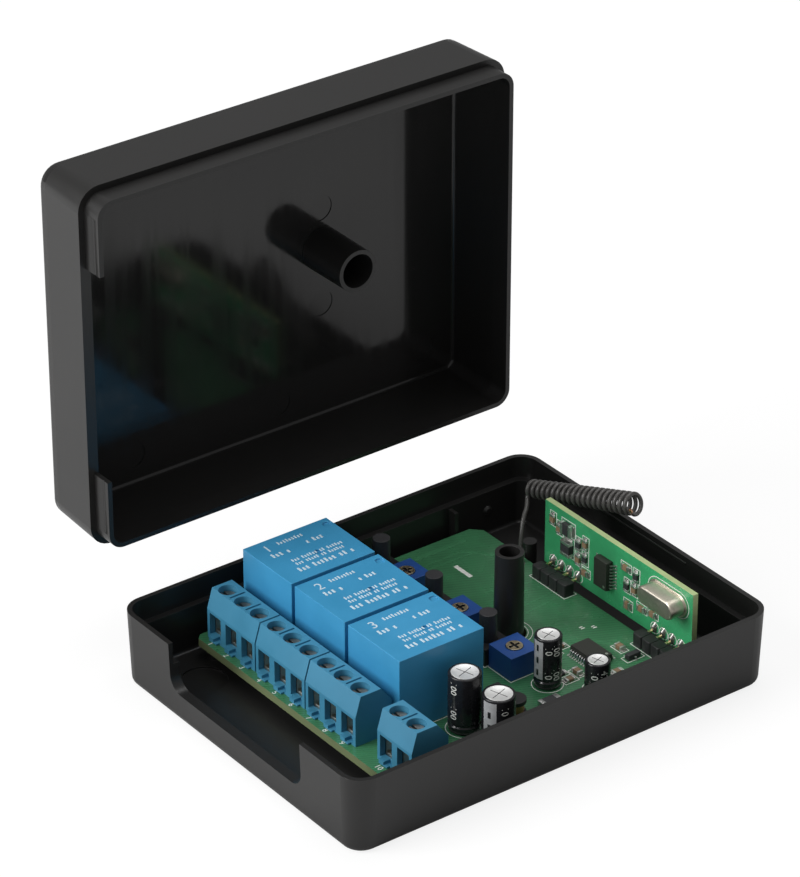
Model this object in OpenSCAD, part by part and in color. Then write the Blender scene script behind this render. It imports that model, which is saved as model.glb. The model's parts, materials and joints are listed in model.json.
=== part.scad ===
// Relay receiver in a two-part case, shown open: the tray with its circuit boards, and the lid held
// upright behind it. The origin is the centre of the tray's underside, +X runs from the cable notch
// to the aerial end, +Y runs to the lid and +Z is up. All sizes are in millimetres.

/* [Case] */
// Distance from the case's end at the notch to the main board
cable_bay = 14; // [12.5:0.1:20]
// Distance from the main board to the case's end at the aerial
aerial_bay = 15.5; // [15:0.1:20]
// Distance from each long side of the case to the main board
side_gap = 4.75; // [4.6:0.05:8]
// Height of the tray from its underside to its rim
tray_h = 15.8; // [15.3:0.1:18.7]
// Depth of the lid from its rim to its outer face
lid_h = 14; // [13.7:0.1:20]
// Radius of the four upright corners
corner_r = 4.5; // [4:0.1:7]
// Radius round the edge of the underside and of the lid's face
edge_r = 1.5; // [0.5:0.1:1.8]
// How far a wall leans in over its height
draft = 0.5; // [0:0.1:0.6]
// Thickness of the walls
wall = 2.2; // [1.9:0.1:2.4]
// Thickness of the tray's floor
floor_t = 2; // [1.2:0.1:2.4]
// Thickness of the lid's face
face_t = 2; // [1.2:0.1:2.3]

/* [Rim] */
// Thickness of the tray's outer lip
lip_t = 1; // [0.7:0.05:1.1]
// Depth of the step behind the lip
step_h = 4.6; // [4.5:0.1:6]
// How far the lid's tongue reaches past its rim
tongue_h = 4.4; // [3.9:0.1:4.4]
// Gap between the lip and the tongue
tongue_gap = 0.25; // [0.24:0.01:0.3]
// How far the snap ridges stand out of the lip
ridge_out = 0.15; // [0.05:0.01:0.2]
// Length of the long snap ridge at the aerial end
ridge_l = 26; // [10:1:40]
// Length of each short snap ridge beside the notch
hook_l = 10.6; // [4:0.2:11]

/* [Notch] */
// Width of the cable notch
notch_w = 40.8; // [30:0.2:41.4]
// Height of the notch's lower edge above the underside
notch_z = 6; // [4.7:0.1:8.7]
// Radius of the notch's lower corners
notch_r = 3.2; // [1:0.1:4]

/* [Centre post] */
// Distance of the post from the main board's edge along X
post_edge = 47.5; // [46.8:0.1:49]
// Distance of the post from the main board's centre line
post_y = -1.8; // [-3:0.1:2]
// Radius of the post at its foot
post_r = 2.95; // [2.8:0.05:3.1]
// Radius of the post at its top
post_top_r = 2.75; // [2.5:0.05:2.78]
// Radius of the screw hole through the post
post_bore_r = 1.95; // [1:0.05:2]
// How far the post stands above the tray's rim
post_rise = 8.1; // [5:0.1:8.2]
// Outer radius of the lid's column
column_r = 4.3; // [4.25:0.05:5]
// Radius of the column's bore at its mouth
column_bore_r = 3.45; // [3.43:0.01:3.6]
// Depth of the column's bore
column_bore_h = 11; // [9:0.1:11.5]

/* [Lid shown open] */
// Distance of the turning axis behind the tray
turn_gap = 8.1; // [7:0.1:20]

/* [Main board] */
// Length of the main board along X
board_l = 66.5; // [66:0.1:75]
// Width of the main board along Y
board_w = 64.5; // [63.8:0.1:72]
// Thickness of the main board
board_t = 1.6; // [1:0.1:1.8]
// Height of the board's underside above the floor
board_lift = 2.6; // [2.3:0.1:3.1]
// Clearance of the board's edge in the tray's ribs
board_clear = 0.3; // [0.1:0.05:0.5]
// Chamfer of the board's far corner
board_chamfer = 2; // [0.5:0.1:3]

/* [Relays] */
// Length of a relay along X
relay_l = 19.1; // [18:0.1:20]
// Width of a relay along Y
relay_w = 15.5; // [14.5:0.1:16.2]
// Height of a relay
relay_h = 15.7; // [15:0.1:16.2]
// Wall of a relay's case
relay_wall = 0.9; // [0.6:0.1:1.1]
// Distance from the board's edge to the relays
relay_edge = 10.4; // [10.3:0.1:11.4]
// Gap between one relay and the next
relay_gap = 1; // [0.6:0.1:1.6]
// Distance of the middle relay from the board's centre line
relay_y = 7; // [6.5:0.1:7.5]

/* [Terminals] */
// Distance from one pole to the next
pole = 5.08; // [5:0.01:5.12]
// Gap between one three-pole block and the next
block_gap = 0.36; // [0.1:0.02:0.6]
// Distance of the middle block from the board's centre line
block_y = 7.6; // [7:0.1:8]
// Distance of the two-pole block from the board's centre line
supply_y = -25.9; // [-26.6:0.1:-24.8]
// Distance from the board's edge to the three-pole blocks
block_edge = 1.8; // [1:0.1:1.9]
// Distance from the board's edge to the two-pole block
supply_edge = 2.8; // [2:0.1:5]
// Depth of a block along X
block_d = 8.2; // [8:0.1:8.3]
// Height of a block
block_h = 10.3; // [10.2:0.1:11]
// Radius of the screwdriver holes
block_hole_r = 1.8; // [1.75:0.05:1.9]
// Distance from the block's front to its screws
screw_in = 3; // [2.9:0.1:3.3]
// Radius of a clamp screw's shank
screw_r = 1.3; // [1:0.05:1.35]
// Radius of a clamp screw's head
screw_head_r = 1.65; // [1.5:0.05:1.68]
// Thickness of a clamp screw's head
screw_head_h = 1; // [0.7:0.1:1.1]
// Travel of a clamp cage
cage_travel = 2.2; // [1:0.1:2.3]

/* [Trimmers and buttons] */
// Side of a trimmer's square body
trimmer_s = 6.7; // [6:0.1:6.8]
// Height of a trimmer's body
trimmer_h = 4.8; // [4:0.1:6]
// Radius of a trimmer's rotor
rotor_r = 1.6; // [1.2:0.05:2.2]
// Distance from the board's edge to the trimmers' centres
trimmer_edge = 40.8; // [39:0.1:41]
// Distance of each trimmer from its relay's centre line
trimmer_shift = -2.5; // [-3:0.1:-2]
// Side of a push button's square base
button_s = 6.1; // [5.8:0.1:6.2]
// Height of a push button's base
button_base_h = 3.5; // [3.3:0.1:4.5]
// Radius of a push button's stem
button_r = 1.7; // [1.2:0.05:1.8]
// Height of a push button's stem top above the board
button_top = 9.3; // [6:0.1:12]
// Gap between each trimmer and its push button
button_gap = 0.2; // [0.1:0.05:0.5]
// Distance from the board's edge to the push buttons' centres
button_edge = 39.8; // [38:0.1:41]
// Travel of a push button
button_travel = 0.25; // [0.1:0.05:0.3]

/* [Radio board] */
// Length of the radio board along Y
radio_l = 43.4; // [42:0.1:45]
// Height of the radio board
radio_h = 13.7; // [12.5:0.1:14.2]
// Thickness of the radio board
radio_t = 1.2; // [0.8:0.1:1.6]
// Gap from the main board's edge to the radio board
radio_gap = 1.35; // [0.5:0.05:2]
// Height of the radio board's lower edge above the main board
radio_lift = 1; // [0.5:0.1:1.2]
// Distance of the radio board from the case's centre line
radio_y = -8.7; // [-9.5:0.1:-8]

/* [Aerial] */
// Number of turns of the aerial's coil
turns = 20; // [8:1:22]
// Radius of the coil's first turn, to the middle of its wire
coil_r = 1.45; // [1.3:0.05:1.6]
// How much wider the last turn's radius is than the first's
coil_flare = 0.5; // [0:0.05:0.6]
// Diameter of the coil's wire
wire_d = 0.85; // [0.6:0.05:0.88]

/* [Hidden] */
$fn = 48;
eps = 0.01;

function names(stem, count) = [for (i = [1 : count]) str(stem, i)];

// Places along the board
channel = relay_w + relay_gap;
block_step = 3 * pole + block_gap;
button_shift = (trimmer_s + button_s) / 2 + button_gap;

// Heights
board_z = floor_t + board_lift;
top_z = board_z + board_t;
lead_below = 1.3;
lead_z = board_z - lead_below;
closed_h = tray_h + lid_h;
post_h = tray_h + post_rise;
ceiling_z = closed_h - face_t;

// The case goes round the main board
case_l = cable_bay + board_l + aerial_bay;
case_w = board_w + 2 * side_gap;

// The main board's edge nearest the notch, and its far edge
board_x = -case_l / 2 + cable_bay;
board_end = board_x + board_l;
board_half = board_w / 2;
post_x = board_x + post_edge;

// The axis that the lid turns about
turn_y = case_w / 2 + turn_gap;
turn_z = tray_h;

// The lid's tongue fills what the lip and its gap leave of the wall
tongue_in = lip_t + tongue_gap;
tongue_gap_w = notch_w + 1.6;
ridge_drop = 1.5;
hook_drop = 3;
hook_y = notch_w / 2 + 0.8 + hook_l / 2 + 0.3;
ridge_rad = 0.5;
groove_room = 0.2;

// Relays, channel by channel
function channel_y(k) = relay_y + (2 - k) * channel;
relay_x = board_x + relay_edge + relay_l / 2;
base_room = 0.15;
base_h = 1.4;
yoke_t = 1;
yoke_w = 8;
yoke_top = 12.2;
yoke_x = -relay_l / 2 + relay_wall + 0.3;
bobbin_r = 4.6;
bobbin_h = 9;
bobbin_z = base_h + 0.8;
core_r = 1.5;
coil_x = yoke_x + yoke_t + 0.4 + bobbin_r;
air_gap = 0.5;
core_top = yoke_top + 0.05 - air_gap;

// An armature rests on its yoke and turns about the yoke's top edge
armature_room = 0.05;
armature_t = 0.9;
armature_z = yoke_top + armature_room;
armature_reach = 4.2;
armature_end = coil_x + core_r + armature_reach;
hinge_x = yoke_x + yoke_t / 2;
blade_t = 0.25;
blade_w = 3;
blade_gap = 1.8;
blade_x = armature_end + blade_gap;
spring_top = 9;
blade_low = 4;
spring_t = 0.4;
swing = 1.1;

// Terminal poles: three blocks of three and one of two
function block_of(i) = i > 9 ? 4 : ceil(i / 3);
function block_poles(b) = b == 4 ? 2 : 3;
function block_mid(b) = b == 4 ? supply_y : block_y + (2 - b) * block_step;
function block_front(b) = board_x + (b == 4 ? supply_edge : block_edge);
function pole_x(i) = block_front(block_of(i)) + screw_in;
function pole_y(i) = i > 9
    ? supply_y + (10.5 - i) * pole
    : block_mid(block_of(i)) + (2 - (i - 3 * (block_of(i) - 1))) * pole;

// A clamp, in heights above the board
cage_w = 3.7;
cage_d = 3.4;
cage_bar = 0.7;
cage_low = 0.8;
cage_space = 3.2;
cage_top = cage_low + cage_bar + cage_space + cage_bar;
cage_room = 0.12;
pocket_top = cage_top + cage_travel + cage_room;
web_t = 0.35;
head_z = pocket_top + web_t + 0.05;
plate_t = 0.5;
plate_z = cage_low + cage_bar + cage_space - plate_t - 0.1;
screw_tip = plate_z + plate_t + 0.15;
entry_w = 3.5;
entry_low = 1;
entry_top = 5.6;
slope_z = 6.2;
slope_in = 1.2;
back_z = block_h - 3.2;
back_in = 2.5;
leg_gap = 0.8;
leg_x = cage_d / 2 + leg_gap;
contact_w = 2.4;
contact_front = 1.4;
leg_t = 0.6;
leg_w = 0.8;
notch_low = 0.4;
lead_r = 0.5;
hole_room = 0.15;

// Trimmers and push buttons
function trimmer_y(k) = channel_y(k) + trimmer_shift;
function button_y(k) = trimmer_y(k) + button_shift;
trimmer_x = board_x + trimmer_edge;
button_x = board_x + button_edge;
rotor_in = 0.5;
rotor_room = 0.08;
rotor_pin_r = 0.7;
flange_r = 2.2;
flange_h = 0.5;
flange_room = 0.1;
flange_z = button_base_h - 1.35;

// Capacitors: place from the board's edge and centre line, radius, height
CANS = [
    [21.3, -22.3, 3.1, 11.8],
    [24.3, -28.4, 3.1, 9.2],
    [42.3, -20.0, 2.6, 10.6],
    [48.5, -26.8, 2.4, 6.2]
];
function can_x(k) = board_x + CANS[k - 1][0];
function can_y(k) = CANS[k - 1][1];
can_seat = 0.3;

// The choke, the controller chip and the small parts on the main board
choke_at = [board_x + 31.4, -24.2];
choke_r = 2.1;
choke_h = 3.5;
chip_at = [board_x + 54.6, -17.6];
chip_size = [4.4, 7.2, 1.5];
chip_leads = 10;
chip_pitch = 0.65;
// Middle of the lane between the relays and the buttons
lane = (relay_edge + relay_l + button_edge - button_s / 2) / 2;
// Each small part: place from the board's edge and centre line, then length, width, height
SMALL = [
    [46.2, -19.0, 2.0, 1.25, 0.6], [46.4, -21.4, 2.0, 1.25, 0.6], [49.0, -20.4, 1.25, 2.0, 0.9],
    [43.6, -26.2, 2.0, 1.25, 0.6], [37.6, -26.9, 4.3, 2.6, 2.1], [49.6, -13.0, 2.0, 1.25, 0.6],
    [52.0, -11.6, 2.0, 1.25, 0.6], [60.6, -18.6, 1.25, 2.0, 0.9], [60.6, -22.4, 2.9, 1.3, 1.1],
    [55.0, -24.6, 2.0, 1.25, 0.6], [lane, 17.4, 2.9, 1.3, 1.1], [lane, 0.8, 2.9, 1.3, 1.1],
    [lane, -15.8, 2.9, 1.3, 1.1], [lane, 13.4, 4.3, 2.6, 2.1], [lane, -3.2, 4.3, 2.6, 2.1],
    [13.6, -27.4, 3.2, 1.6, 0.6], [13.8, -20.9, 4.3, 2.6, 2.1]
];

// The radio board and what it carries
radio_x = board_end + radio_gap;
radio_z = top_z + radio_lift;
pin_pitch = 2.54;
pin_r = 0.3;
pin_rise = 1.15;
header_d = 2.5;
header_h = 2.6;
header_x = board_end - header_d - 0.6;
HEADERS = [radio_y + 15.1, radio_y - 15.1];
header_l = 4 * pin_pitch;
radio_chip_at = [radio_y + 3.2, 6.7];
radio_chip_size = [1.5, 3.9, 6.2];
radio_chip_leads = 8;
radio_chip_pitch = 0.7;
crystal_at = [radio_y - 14.8, 9.9];
crystal_l = 11;
crystal_w = 4.7;
crystal_h = 3.6;
// Each radio part: place along the board, height on it, length, height, thickness
RADIO_PARTS = [
    [19.2, 10.6, 1.25, 2.0, 0.6], [17.2, 9.4, 1.25, 2.0, 0.6], [14.6, 10.6, 3.0, 2.6, 1.0],
    [14.4, 6.6, 2.6, 3.2, 1.2], [11.4, 8.6, 1.25, 2.0, 0.6], [11.4, 5.4, 1.25, 2.0, 0.6],
    [9.4, 9.6, 1.25, 2.0, 0.6], [9.4, 6.4, 1.25, 2.0, 0.6], [9.4, 3.4, 2.0, 1.25, 0.6],
    [-2.6, 10.4, 2.0, 1.25, 0.6], [-5.6, 9.9, 1.25, 2.0, 0.6], [-3.0, 6.6, 1.25, 2.0, 0.6],
    [-5.2, 6.8, 1.25, 2.0, 0.6], [-3.4, 2.6, 1.6, 1.6, 0.6], [-7.4, 3.8, 2.0, 1.25, 0.6],
    [-10.6, 4.2, 2.0, 1.25, 0.6]
];

// The aerial: its coil runs on a straight axis, and its lead drops to the main board
lead_foot = [board_end - 1.9, 16.4, top_z];
coil_start = lead_foot + [6.4, 4.7, 12.1];
coil_end = lead_foot + [11.3, -20.5, 18.8];
LEAD = [for (p = [[0, 0, 0], [0, 0, 0.8], [0.1, 0.15, 2], [0.4, 0.4, 4], [1, 0.9, 6.2], [1.7, 1.5, 7.7],
                  [2.6, 2.15, 8.8], [3.6, 2.8, 9.6], [4.4, 3.6, 10.3], [4.9, 4.2, 10.8]]) lead_foot + p];

// The tray's small features
support_r = 2.2;
SUPPORTS = [
    [board_x + 3.4, 30.1], [board_x + 13.2, -30.1], [board_end - 7, 29.6], [board_end - 9.5, -29.6]
];
rib_t = 0.8;
rib_h = 10.6;
RIBS = [board_x + 61.7, board_x + 34];
pip_r = 1.1;
pip_out = 0.5;
pip_at = [board_end + 4.3, 7];
peg_r = 1.4;
peg_at = [board_end + 2.1, 18.5];
peg_h = 8.7;
mark_r = 4.5;
mark_t = 0.4;
mark_at = [board_x - 3.6, 24.4];
eject_r = 2.7;
eject_t = 0.15;
EJECT = [[0, 10.1], [0, -10.2], [-10.3, 28.7], [24.2, 27.7], [-43.9, 28.5], [-30, -28], [26, -28]];

module rounded_plate(l, w, r, h) {
    linear_extrude(height = h) {
        square([l - 2 * r, w], center = true);
        square([l, w - 2 * r], center = true);
        for (x = [-1, 1], y = [-1, 1]) {
            translate([x * (l / 2 - r), y * (w / 2 - r)]) circle(r);
        }
    }
}

// A block that narrows towards its rounded bottom edge: r at the top, r less lean at the bottom
module cast_block(l, w, h, r, lean, edge) {
    low = r - lean;
    arc = [for (a = [-90 : 15 : 0]) [low - edge + edge * cos(a), edge + edge * sin(a)]];
    hull() {
        for (x = [-1, 1], y = [-1, 1]) {
            translate([x * (l / 2 - r), y * (w / 2 - r), 0]) {
                rotate_extrude($fn = 32) polygon(concat([[0, 0]], arc, [[r, h], [0, h]]));
            }
        }
    }
}

module case_outer(h) {
    cast_block(case_l, case_w, h, corner_r, draft, edge_r);
}

// The room inside one half of the case, open at its rim
module case_inner(h, base) {
    translate([0, 0, base]) {
        cast_block(case_l - 2 * wall, case_w - 2 * wall, h - base + eps, corner_r - wall, draft * 0.8, 0.7);
    }
}

// A snap ridge along Y, centred at x, y and z
module ridge(x, y, z, l, r) {
    translate([x, y - l / 2, z]) rotate([-90, 0, 0]) cylinder(r = r, h = l);
}

module notch_cut() {
    depth = tray_h - notch_z + 1;
    translate([-case_l / 2 - 1, 0, notch_z]) rotate([90, 0, 90]) linear_extrude(height = wall + 3) {
        translate([-notch_w / 2, notch_r]) square([notch_w, depth]);
        translate([-notch_w / 2 + notch_r, 0]) square([notch_w - 2 * notch_r, depth]);
        for (s = [-1, 1]) translate([s * (notch_w / 2 - notch_r), notch_r]) circle(notch_r);
    }
}

module tray() {
    lip_x = case_l / 2 - lip_t;
    color("#26282a") difference() {
        union() {
            difference() {
                case_outer(tray_h);
                case_inner(tray_h, floor_t);
                translate([0, 0, tray_h - step_h]) {
                    rounded_plate(case_l - 2 * lip_t, case_w - 2 * lip_t, corner_r - lip_t, step_h + 1);
                }
            }
            translate([post_x, post_y, floor_t / 2]) {
                cylinder(r1 = post_r, r2 = post_top_r, h = post_h - floor_t / 2);
            }
            for (p = SUPPORTS) translate([p[0], p[1], floor_t / 2]) {
                cylinder(r = support_r, h = board_z - floor_t / 2);
            }
            for (x = RIBS, s = [-1, 1]) {
                low = board_half + board_clear;
                depth = case_w / 2 - wall / 2 - low;
                translate([x - rib_t / 2, s > 0 ? low : -low - depth, floor_t / 2]) {
                    cube([rib_t, depth, rib_h - floor_t / 2]);
                }
            }
            translate([pip_at[0], case_w / 2 - wall - 0.25, pip_at[1]]) {
                rotate([90, 0, 0]) cylinder(r1 = pip_r, r2 = pip_r * 0.6, h = pip_out);
            }
            translate([peg_at[0], peg_at[1], floor_t / 2]) cylinder(r = peg_r, h = peg_h - floor_t / 2);
            ridge(lip_x + ridge_rad - ridge_out, 0, tray_h - ridge_drop, ridge_l, ridge_rad);
            for (s = [-1, 1]) {
                ridge(-lip_x - ridge_rad + ridge_out, s * hook_y, tray_h - hook_drop, hook_l, ridge_rad);
            }
        }
        notch_cut();
        translate([post_x, post_y, -1]) cylinder(r = post_bore_r, h = post_h + 2);
        translate([mark_at[0], mark_at[1], floor_t - mark_t]) cylinder(r = mark_r, h = mark_t + eps);
    }
}

// The lid as it sits when closed
module lid_closed() {
    tongue_l = case_l - 2 * tongue_in;
    tongue_w = case_w - 2 * tongue_in;
    difference() {
        union() {
            translate([0, 0, closed_h]) mirror([0, 0, 1]) difference() {
                case_outer(lid_h);
                case_inner(lid_h, face_t);
            }
            translate([0, 0, tray_h - tongue_h]) difference() {
                rounded_plate(tongue_l, tongue_w, corner_r - tongue_in, tongue_h + 0.4);
                translate([0, 0, -1]) {
                    rounded_plate(case_l - 2 * wall, case_w - 2 * wall, corner_r - wall, tongue_h + 2);
                }
                translate([-case_l / 2, -tongue_gap_w / 2, -1]) cube([wall + 2, tongue_gap_w, tongue_h + 1]);
            }
            translate([post_x, post_y, tray_h]) {
                cylinder(r1 = column_r, r2 = column_r + 0.1, h = ceiling_z - tray_h + face_t / 2);
            }
        }
        translate([post_x, post_y, tray_h - 1]) {
            cylinder(r1 = column_bore_r, r2 = column_bore_r - 0.12, h = column_bore_h + 1);
        }
        for (p = EJECT) translate([post_x + p[0], p[1], ceiling_z - eps]) {
            cylinder(r = eject_r, h = eject_t + eps);
        }
        groove = ridge_rad + groove_room;
        ridge(case_l / 2 - lip_t + ridge_rad - ridge_out, 0, tray_h - ridge_drop, ridge_l + 1, groove);
        for (s = [-1, 1]) {
            hook_x = lip_t - ridge_rad + ridge_out - case_l / 2;
            ridge(hook_x, s * hook_y, tray_h - hook_drop, hook_l + 0.6, groove);
        }
    }
}

// The lid turned back about its axis, as it is shown
module lid() {
    color("#26282a") translate([0, turn_y, turn_z]) rotate([-90, 0, 0]) {
        translate([0, -turn_y, -turn_z]) lid_closed();
    }
}

// A round lead from a part down through the board
module lead(x, y, from = top_z, r = lead_r) {
    translate([x, y, lead_z]) cylinder(r = r, h = from - lead_z);
}

// Leads of each kind of part, as x and y
wiper_lead_x = 7.1;
coil_lead_x = 5;
trimmer_lead = 2.25;
button_lead = 2.3;
can_lead = 1.2;
relay_leads = [
    [-wiper_lead_x, 6], [-wiper_lead_x, -6], [coil_lead_x, 6], [coil_lead_x, -6], [wiper_lead_x, 0]
];
function relay_pins(k) = [for (p = relay_leads) [relay_x + p[0], channel_y(k) + p[1]]];
function trimmer_pins(k) = [
    for (p = trimmer_lead * [[-1, 0], [1, -1], [1, 1]]) [trimmer_x + p[0], trimmer_y(k) + p[1]]
];
function button_pins(k) = [
    for (x = [-1, 1], y = [-1, 1]) [button_x + x * button_lead, button_y(k) + y * button_lead]
];
function can_pins(k) = [for (s = [-1, 1]) [can_x(k) + s * can_lead, can_y(k)]];
function header_pins() = [
    for (y = HEADERS, i = [-1.5 : 1 : 1.5]) [header_x + header_d / 2, y + i * pin_pitch]
];
fine_r = 0.3;

module holes(places, r) {
    for (p = places) translate([p[0], p[1], board_z - 1]) {
        cylinder(r = r + hole_room, h = board_t + 2, $fn = 24);
    }
}

module main_board() {
    mid = board_x + board_l / 2;
    color("#2f8a56") difference() {
        translate([mid, 0, board_z]) linear_extrude(height = board_t) difference() {
            square([board_l, board_w], center = true);
            translate([board_l / 2, board_half]) rotate(45) square(board_chamfer * sqrt(2), center = true);
            translate([-board_l / 2, board_half]) rotate(45) {
                square(board_chamfer * sqrt(2) / 2, center = true);
            }
        }
        translate([post_x, post_y, board_z - 1]) cylinder(r = post_r + 0.45, h = board_t + 2);
        for (k = [1 : 3]) {
            holes(relay_pins(k), lead_r);
            holes(trimmer_pins(k), fine_r);
            holes(button_pins(k), fine_r);
        }
        for (k = [1 : 4]) holes(can_pins(k), fine_r);
        holes([for (i = [1 : 11]) [pole_x(i) + leg_x, pole_y(i)]], lead_r);
        holes([for (s = [-1, 1]) [choke_at[0], choke_at[1] + s * can_lead]], fine_r);
        holes(header_pins(), pin_r);
    }
}

module relay_case(k) {
    color("#4fb3dc") translate([relay_x, channel_y(k), top_z]) difference() {
        translate([-relay_l / 2, -relay_w / 2, 0]) cube([relay_l, relay_w, relay_h]);
        translate([-relay_l / 2 + relay_wall, -relay_w / 2 + relay_wall, -1]) {
            cube([relay_l - 2 * relay_wall, relay_w - 2 * relay_wall, relay_h - relay_wall + 1]);
        }
        translate([relay_l / 16, -relay_w / 11, relay_h - 0.4]) cylinder(r = 0.8, h = 1);
        translate([relay_l / 2 - 1.2, relay_w / 2 - 2.15, relay_h - 0.3]) cylinder(r = 0.9, h = 1);
    }
}

// The base plate, fixed contact springs and leads of every relay
module relay_bases() {
    room_l = relay_l - 2 * (relay_wall + base_room);
    room_w = relay_w - 2 * (relay_wall + base_room);
    color("#3f4a52") for (k = [1 : 3]) {
        translate([relay_x, channel_y(k), top_z]) difference() {
            union() {
                translate([-room_l / 2, -room_w / 2, 0]) cube([room_l, room_w, base_h]);
                for (x = [blade_x - swing, blade_x + blade_t + 0.1]) {
                    translate([x, -blade_w / 2, base_h / 2]) cube([spring_t, blade_w, spring_top - base_h / 2]);
                }
            }
            translate([yoke_x - 0.1, -yoke_w / 2 - 0.1, -1]) cube([yoke_t + 0.2, yoke_w + 0.2, base_h + 2]);
        }
        for (p = relay_pins(k)) lead(p[0], p[1], top_z + base_h / 2);
    }
}

// The iron yoke and core of every relay
module relay_yokes() {
    foot_z = base_h + 0.05;
    color("#a9adb2") for (k = [1 : 3]) translate([relay_x, channel_y(k), top_z]) {
        translate([coil_x, 0, foot_z]) cylinder(r = core_r, h = core_top - foot_z);
        translate([yoke_x, -yoke_w / 2, 0.1]) cube([yoke_t, yoke_w, yoke_top - 0.1]);
        translate([yoke_x + 0.1, -yoke_w / 2, foot_z]) {
            cube([coil_x + core_r - yoke_x, yoke_w, bobbin_z - foot_z - 0.05]);
        }
    }
}

// The wound bobbin of every relay
module relay_coils() {
    bore = core_r + 0.1;
    low = [[bore, 0], [bobbin_r, 0], [bobbin_r, 0.8], [bobbin_r - 0.6, 0.8]];
    high = [for (i = [len(low) - 1 : -1 : 0]) [low[i][0], bobbin_h - low[i][1]]];
    color("#a8552f") for (k = [1 : 3]) translate([relay_x + coil_x, channel_y(k), top_z + bobbin_z]) {
        rotate_extrude() polygon(concat(low, high));
    }
}

module relay_armature(k) {
    color("#b9bcc0") translate([relay_x, channel_y(k), top_z]) {
        translate([yoke_x, -yoke_w / 2, armature_z]) cube([armature_end - yoke_x, yoke_w, armature_t]);
        translate([coil_x, -blade_w / 2, armature_z + armature_t]) {
            cube([blade_x + blade_t - coil_x, blade_w, blade_t]);
        }
        translate([blade_x, -blade_w / 2, blade_low]) {
            cube([blade_t, blade_w, armature_z + armature_t + blade_t - blade_low]);
        }
    }
}

// The outline of a terminal block, seen along Y, from its front foot
function block_outline() = [
    [0, 0], [block_d, 0], [block_d, back_z], [block_d - back_in, block_h],
    [slope_in, block_h], [0, slope_z]
];

module terminal_block(b) {
    w = block_poles(b) * pole;
    first = b == 4 ? 10 : 3 * b - 2;
    last = first + block_poles(b) - 1;
    color("#4f97bf") difference() {
        union() {
            translate([block_front(b), block_mid(b) + w / 2, top_z]) rotate([90, 0, 0]) {
                linear_extrude(height = w) polygon(block_outline());
            }
            for (i = [first : last]) translate([block_front(b) - 0.7, pole_y(i) - 1.2, top_z + 0.1]) {
                cube([0.8, 2.4, 1]);
            }
        }
        for (i = [first : last]) {
            room = cage_room;
            translate([pole_x(i), pole_y(i), top_z]) {
                translate([-cage_d / 2 - room, -cage_w / 2 - room, cage_low - room]) {
                    cube([cage_d + 2 * room, cage_w + 2 * room, pocket_top - cage_low + room]);
                }
                translate([-screw_in - 1, -entry_w / 2, entry_low]) {
                    cube([screw_in + 1, entry_w, entry_top - entry_low]);
                }
                translate([0, 0, pocket_top - 1]) cylinder(r = screw_r + 0.12, h = 3);
                translate([0, 0, pocket_top + web_t]) cylinder(r = block_hole_r, h = block_h);
                translate([1, -contact_w / 2 - 0.1, plate_z - 0.05]) {
                    cube([leg_x - 0.5, contact_w + 0.2, plate_t + 0.1]);
                }
                translate([leg_x - leg_t / 2 - 0.1, -leg_w / 2 - 0.1, -1]) {
                    cube([leg_t + 0.2, leg_w + 0.2, plate_z + 1.4]);
                }
                translate([-screw_in - 1, -entry_w / 2, notch_low]) cube([1.8, entry_w / 2 - 0.2, 1.4]);
            }
        }
        for (i = [first : 1 : last - 1]) {
            middle = (pole_y(i) + pole_y(i + 1)) / 2;
            translate([block_front(b) + slope_in + 0.5, middle - 0.2, top_z + block_h - 0.5]) {
                cube([block_d - slope_in - back_in - 1, 0.4, 1]);
            }
        }
    }
}

module terminal_contacts() {
    color("#c9a15a") for (i = [1 : 11]) {
        translate([pole_x(i), pole_y(i), top_z]) {
            translate([-contact_front, -contact_w / 2, plate_z]) {
                cube([leg_x + contact_front + leg_t / 2, contact_w, plate_t]);
            }
            translate([leg_x - leg_t / 2, -leg_w / 2, 0]) cube([leg_t, leg_w, plate_z + 0.1]);
        }
        lead(pole_x(i) + leg_x, pole_y(i), top_z, 0.4);
    }
}

module clamp_screw(i) {
    color("#9aa0a6") translate([pole_x(i), pole_y(i), top_z]) difference() {
        union() {
            translate([0, 0, screw_tip]) cylinder(r = screw_r, h = head_z - screw_tip + 0.2);
            translate([0, 0, head_z]) cylinder(r = screw_head_r, h = screw_head_h);
        }
        translate([-0.25, -screw_head_r - 1, head_z + screw_head_h - 0.5]) {
            cube([0.5, 2 * screw_head_r + 2, 1]);
        }
    }
}

module clamp_cage(i) {
    color("#d7d3c8") translate([pole_x(i), pole_y(i), top_z]) difference() {
        translate([-cage_d / 2, -cage_w / 2, cage_low]) cube([cage_d, cage_w, cage_top - cage_low]);
        translate([-cage_d, -cage_w / 2 + cage_bar / 2, cage_low + cage_bar]) {
            cube([2 * cage_d, cage_w - cage_bar, cage_space]);
        }
        cylinder(r = screw_r + 0.06, h = cage_top + 1);
    }
}

module trimmer_body(k) {
    color("#2f62b0") translate([trimmer_x, trimmer_y(k), top_z]) difference() {
        translate([-trimmer_s / 2, -trimmer_s / 2, 0]) cube([trimmer_s, trimmer_s, trimmer_h]);
        translate([0, 0, trimmer_h - rotor_in]) cylinder(r = rotor_r + rotor_room, h = 1);
        translate([0, 0, 1]) cylinder(r = rotor_pin_r + rotor_room, h = trimmer_h);
    }
    color("#c8ccd0") for (p = trimmer_pins(k)) lead(p[0], p[1], top_z, fine_r);
}

module trimmer_rotor(k) {
    disc_z = trimmer_h - rotor_in + 0.05;
    color("#d9b36a") translate([trimmer_x, trimmer_y(k), top_z]) difference() {
        union() {
            translate([0, 0, 1.2]) cylinder(r = rotor_pin_r, h = disc_z - 1);
            translate([0, 0, disc_z]) cylinder(r = rotor_r, h = rotor_in + 0.15);
        }
        for (a = [0, 90]) rotate(a) {
            translate([-rotor_r * 0.75, -0.25, disc_z + 0.2]) cube([rotor_r * 1.5, 0.5, 1]);
        }
    }
}

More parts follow.
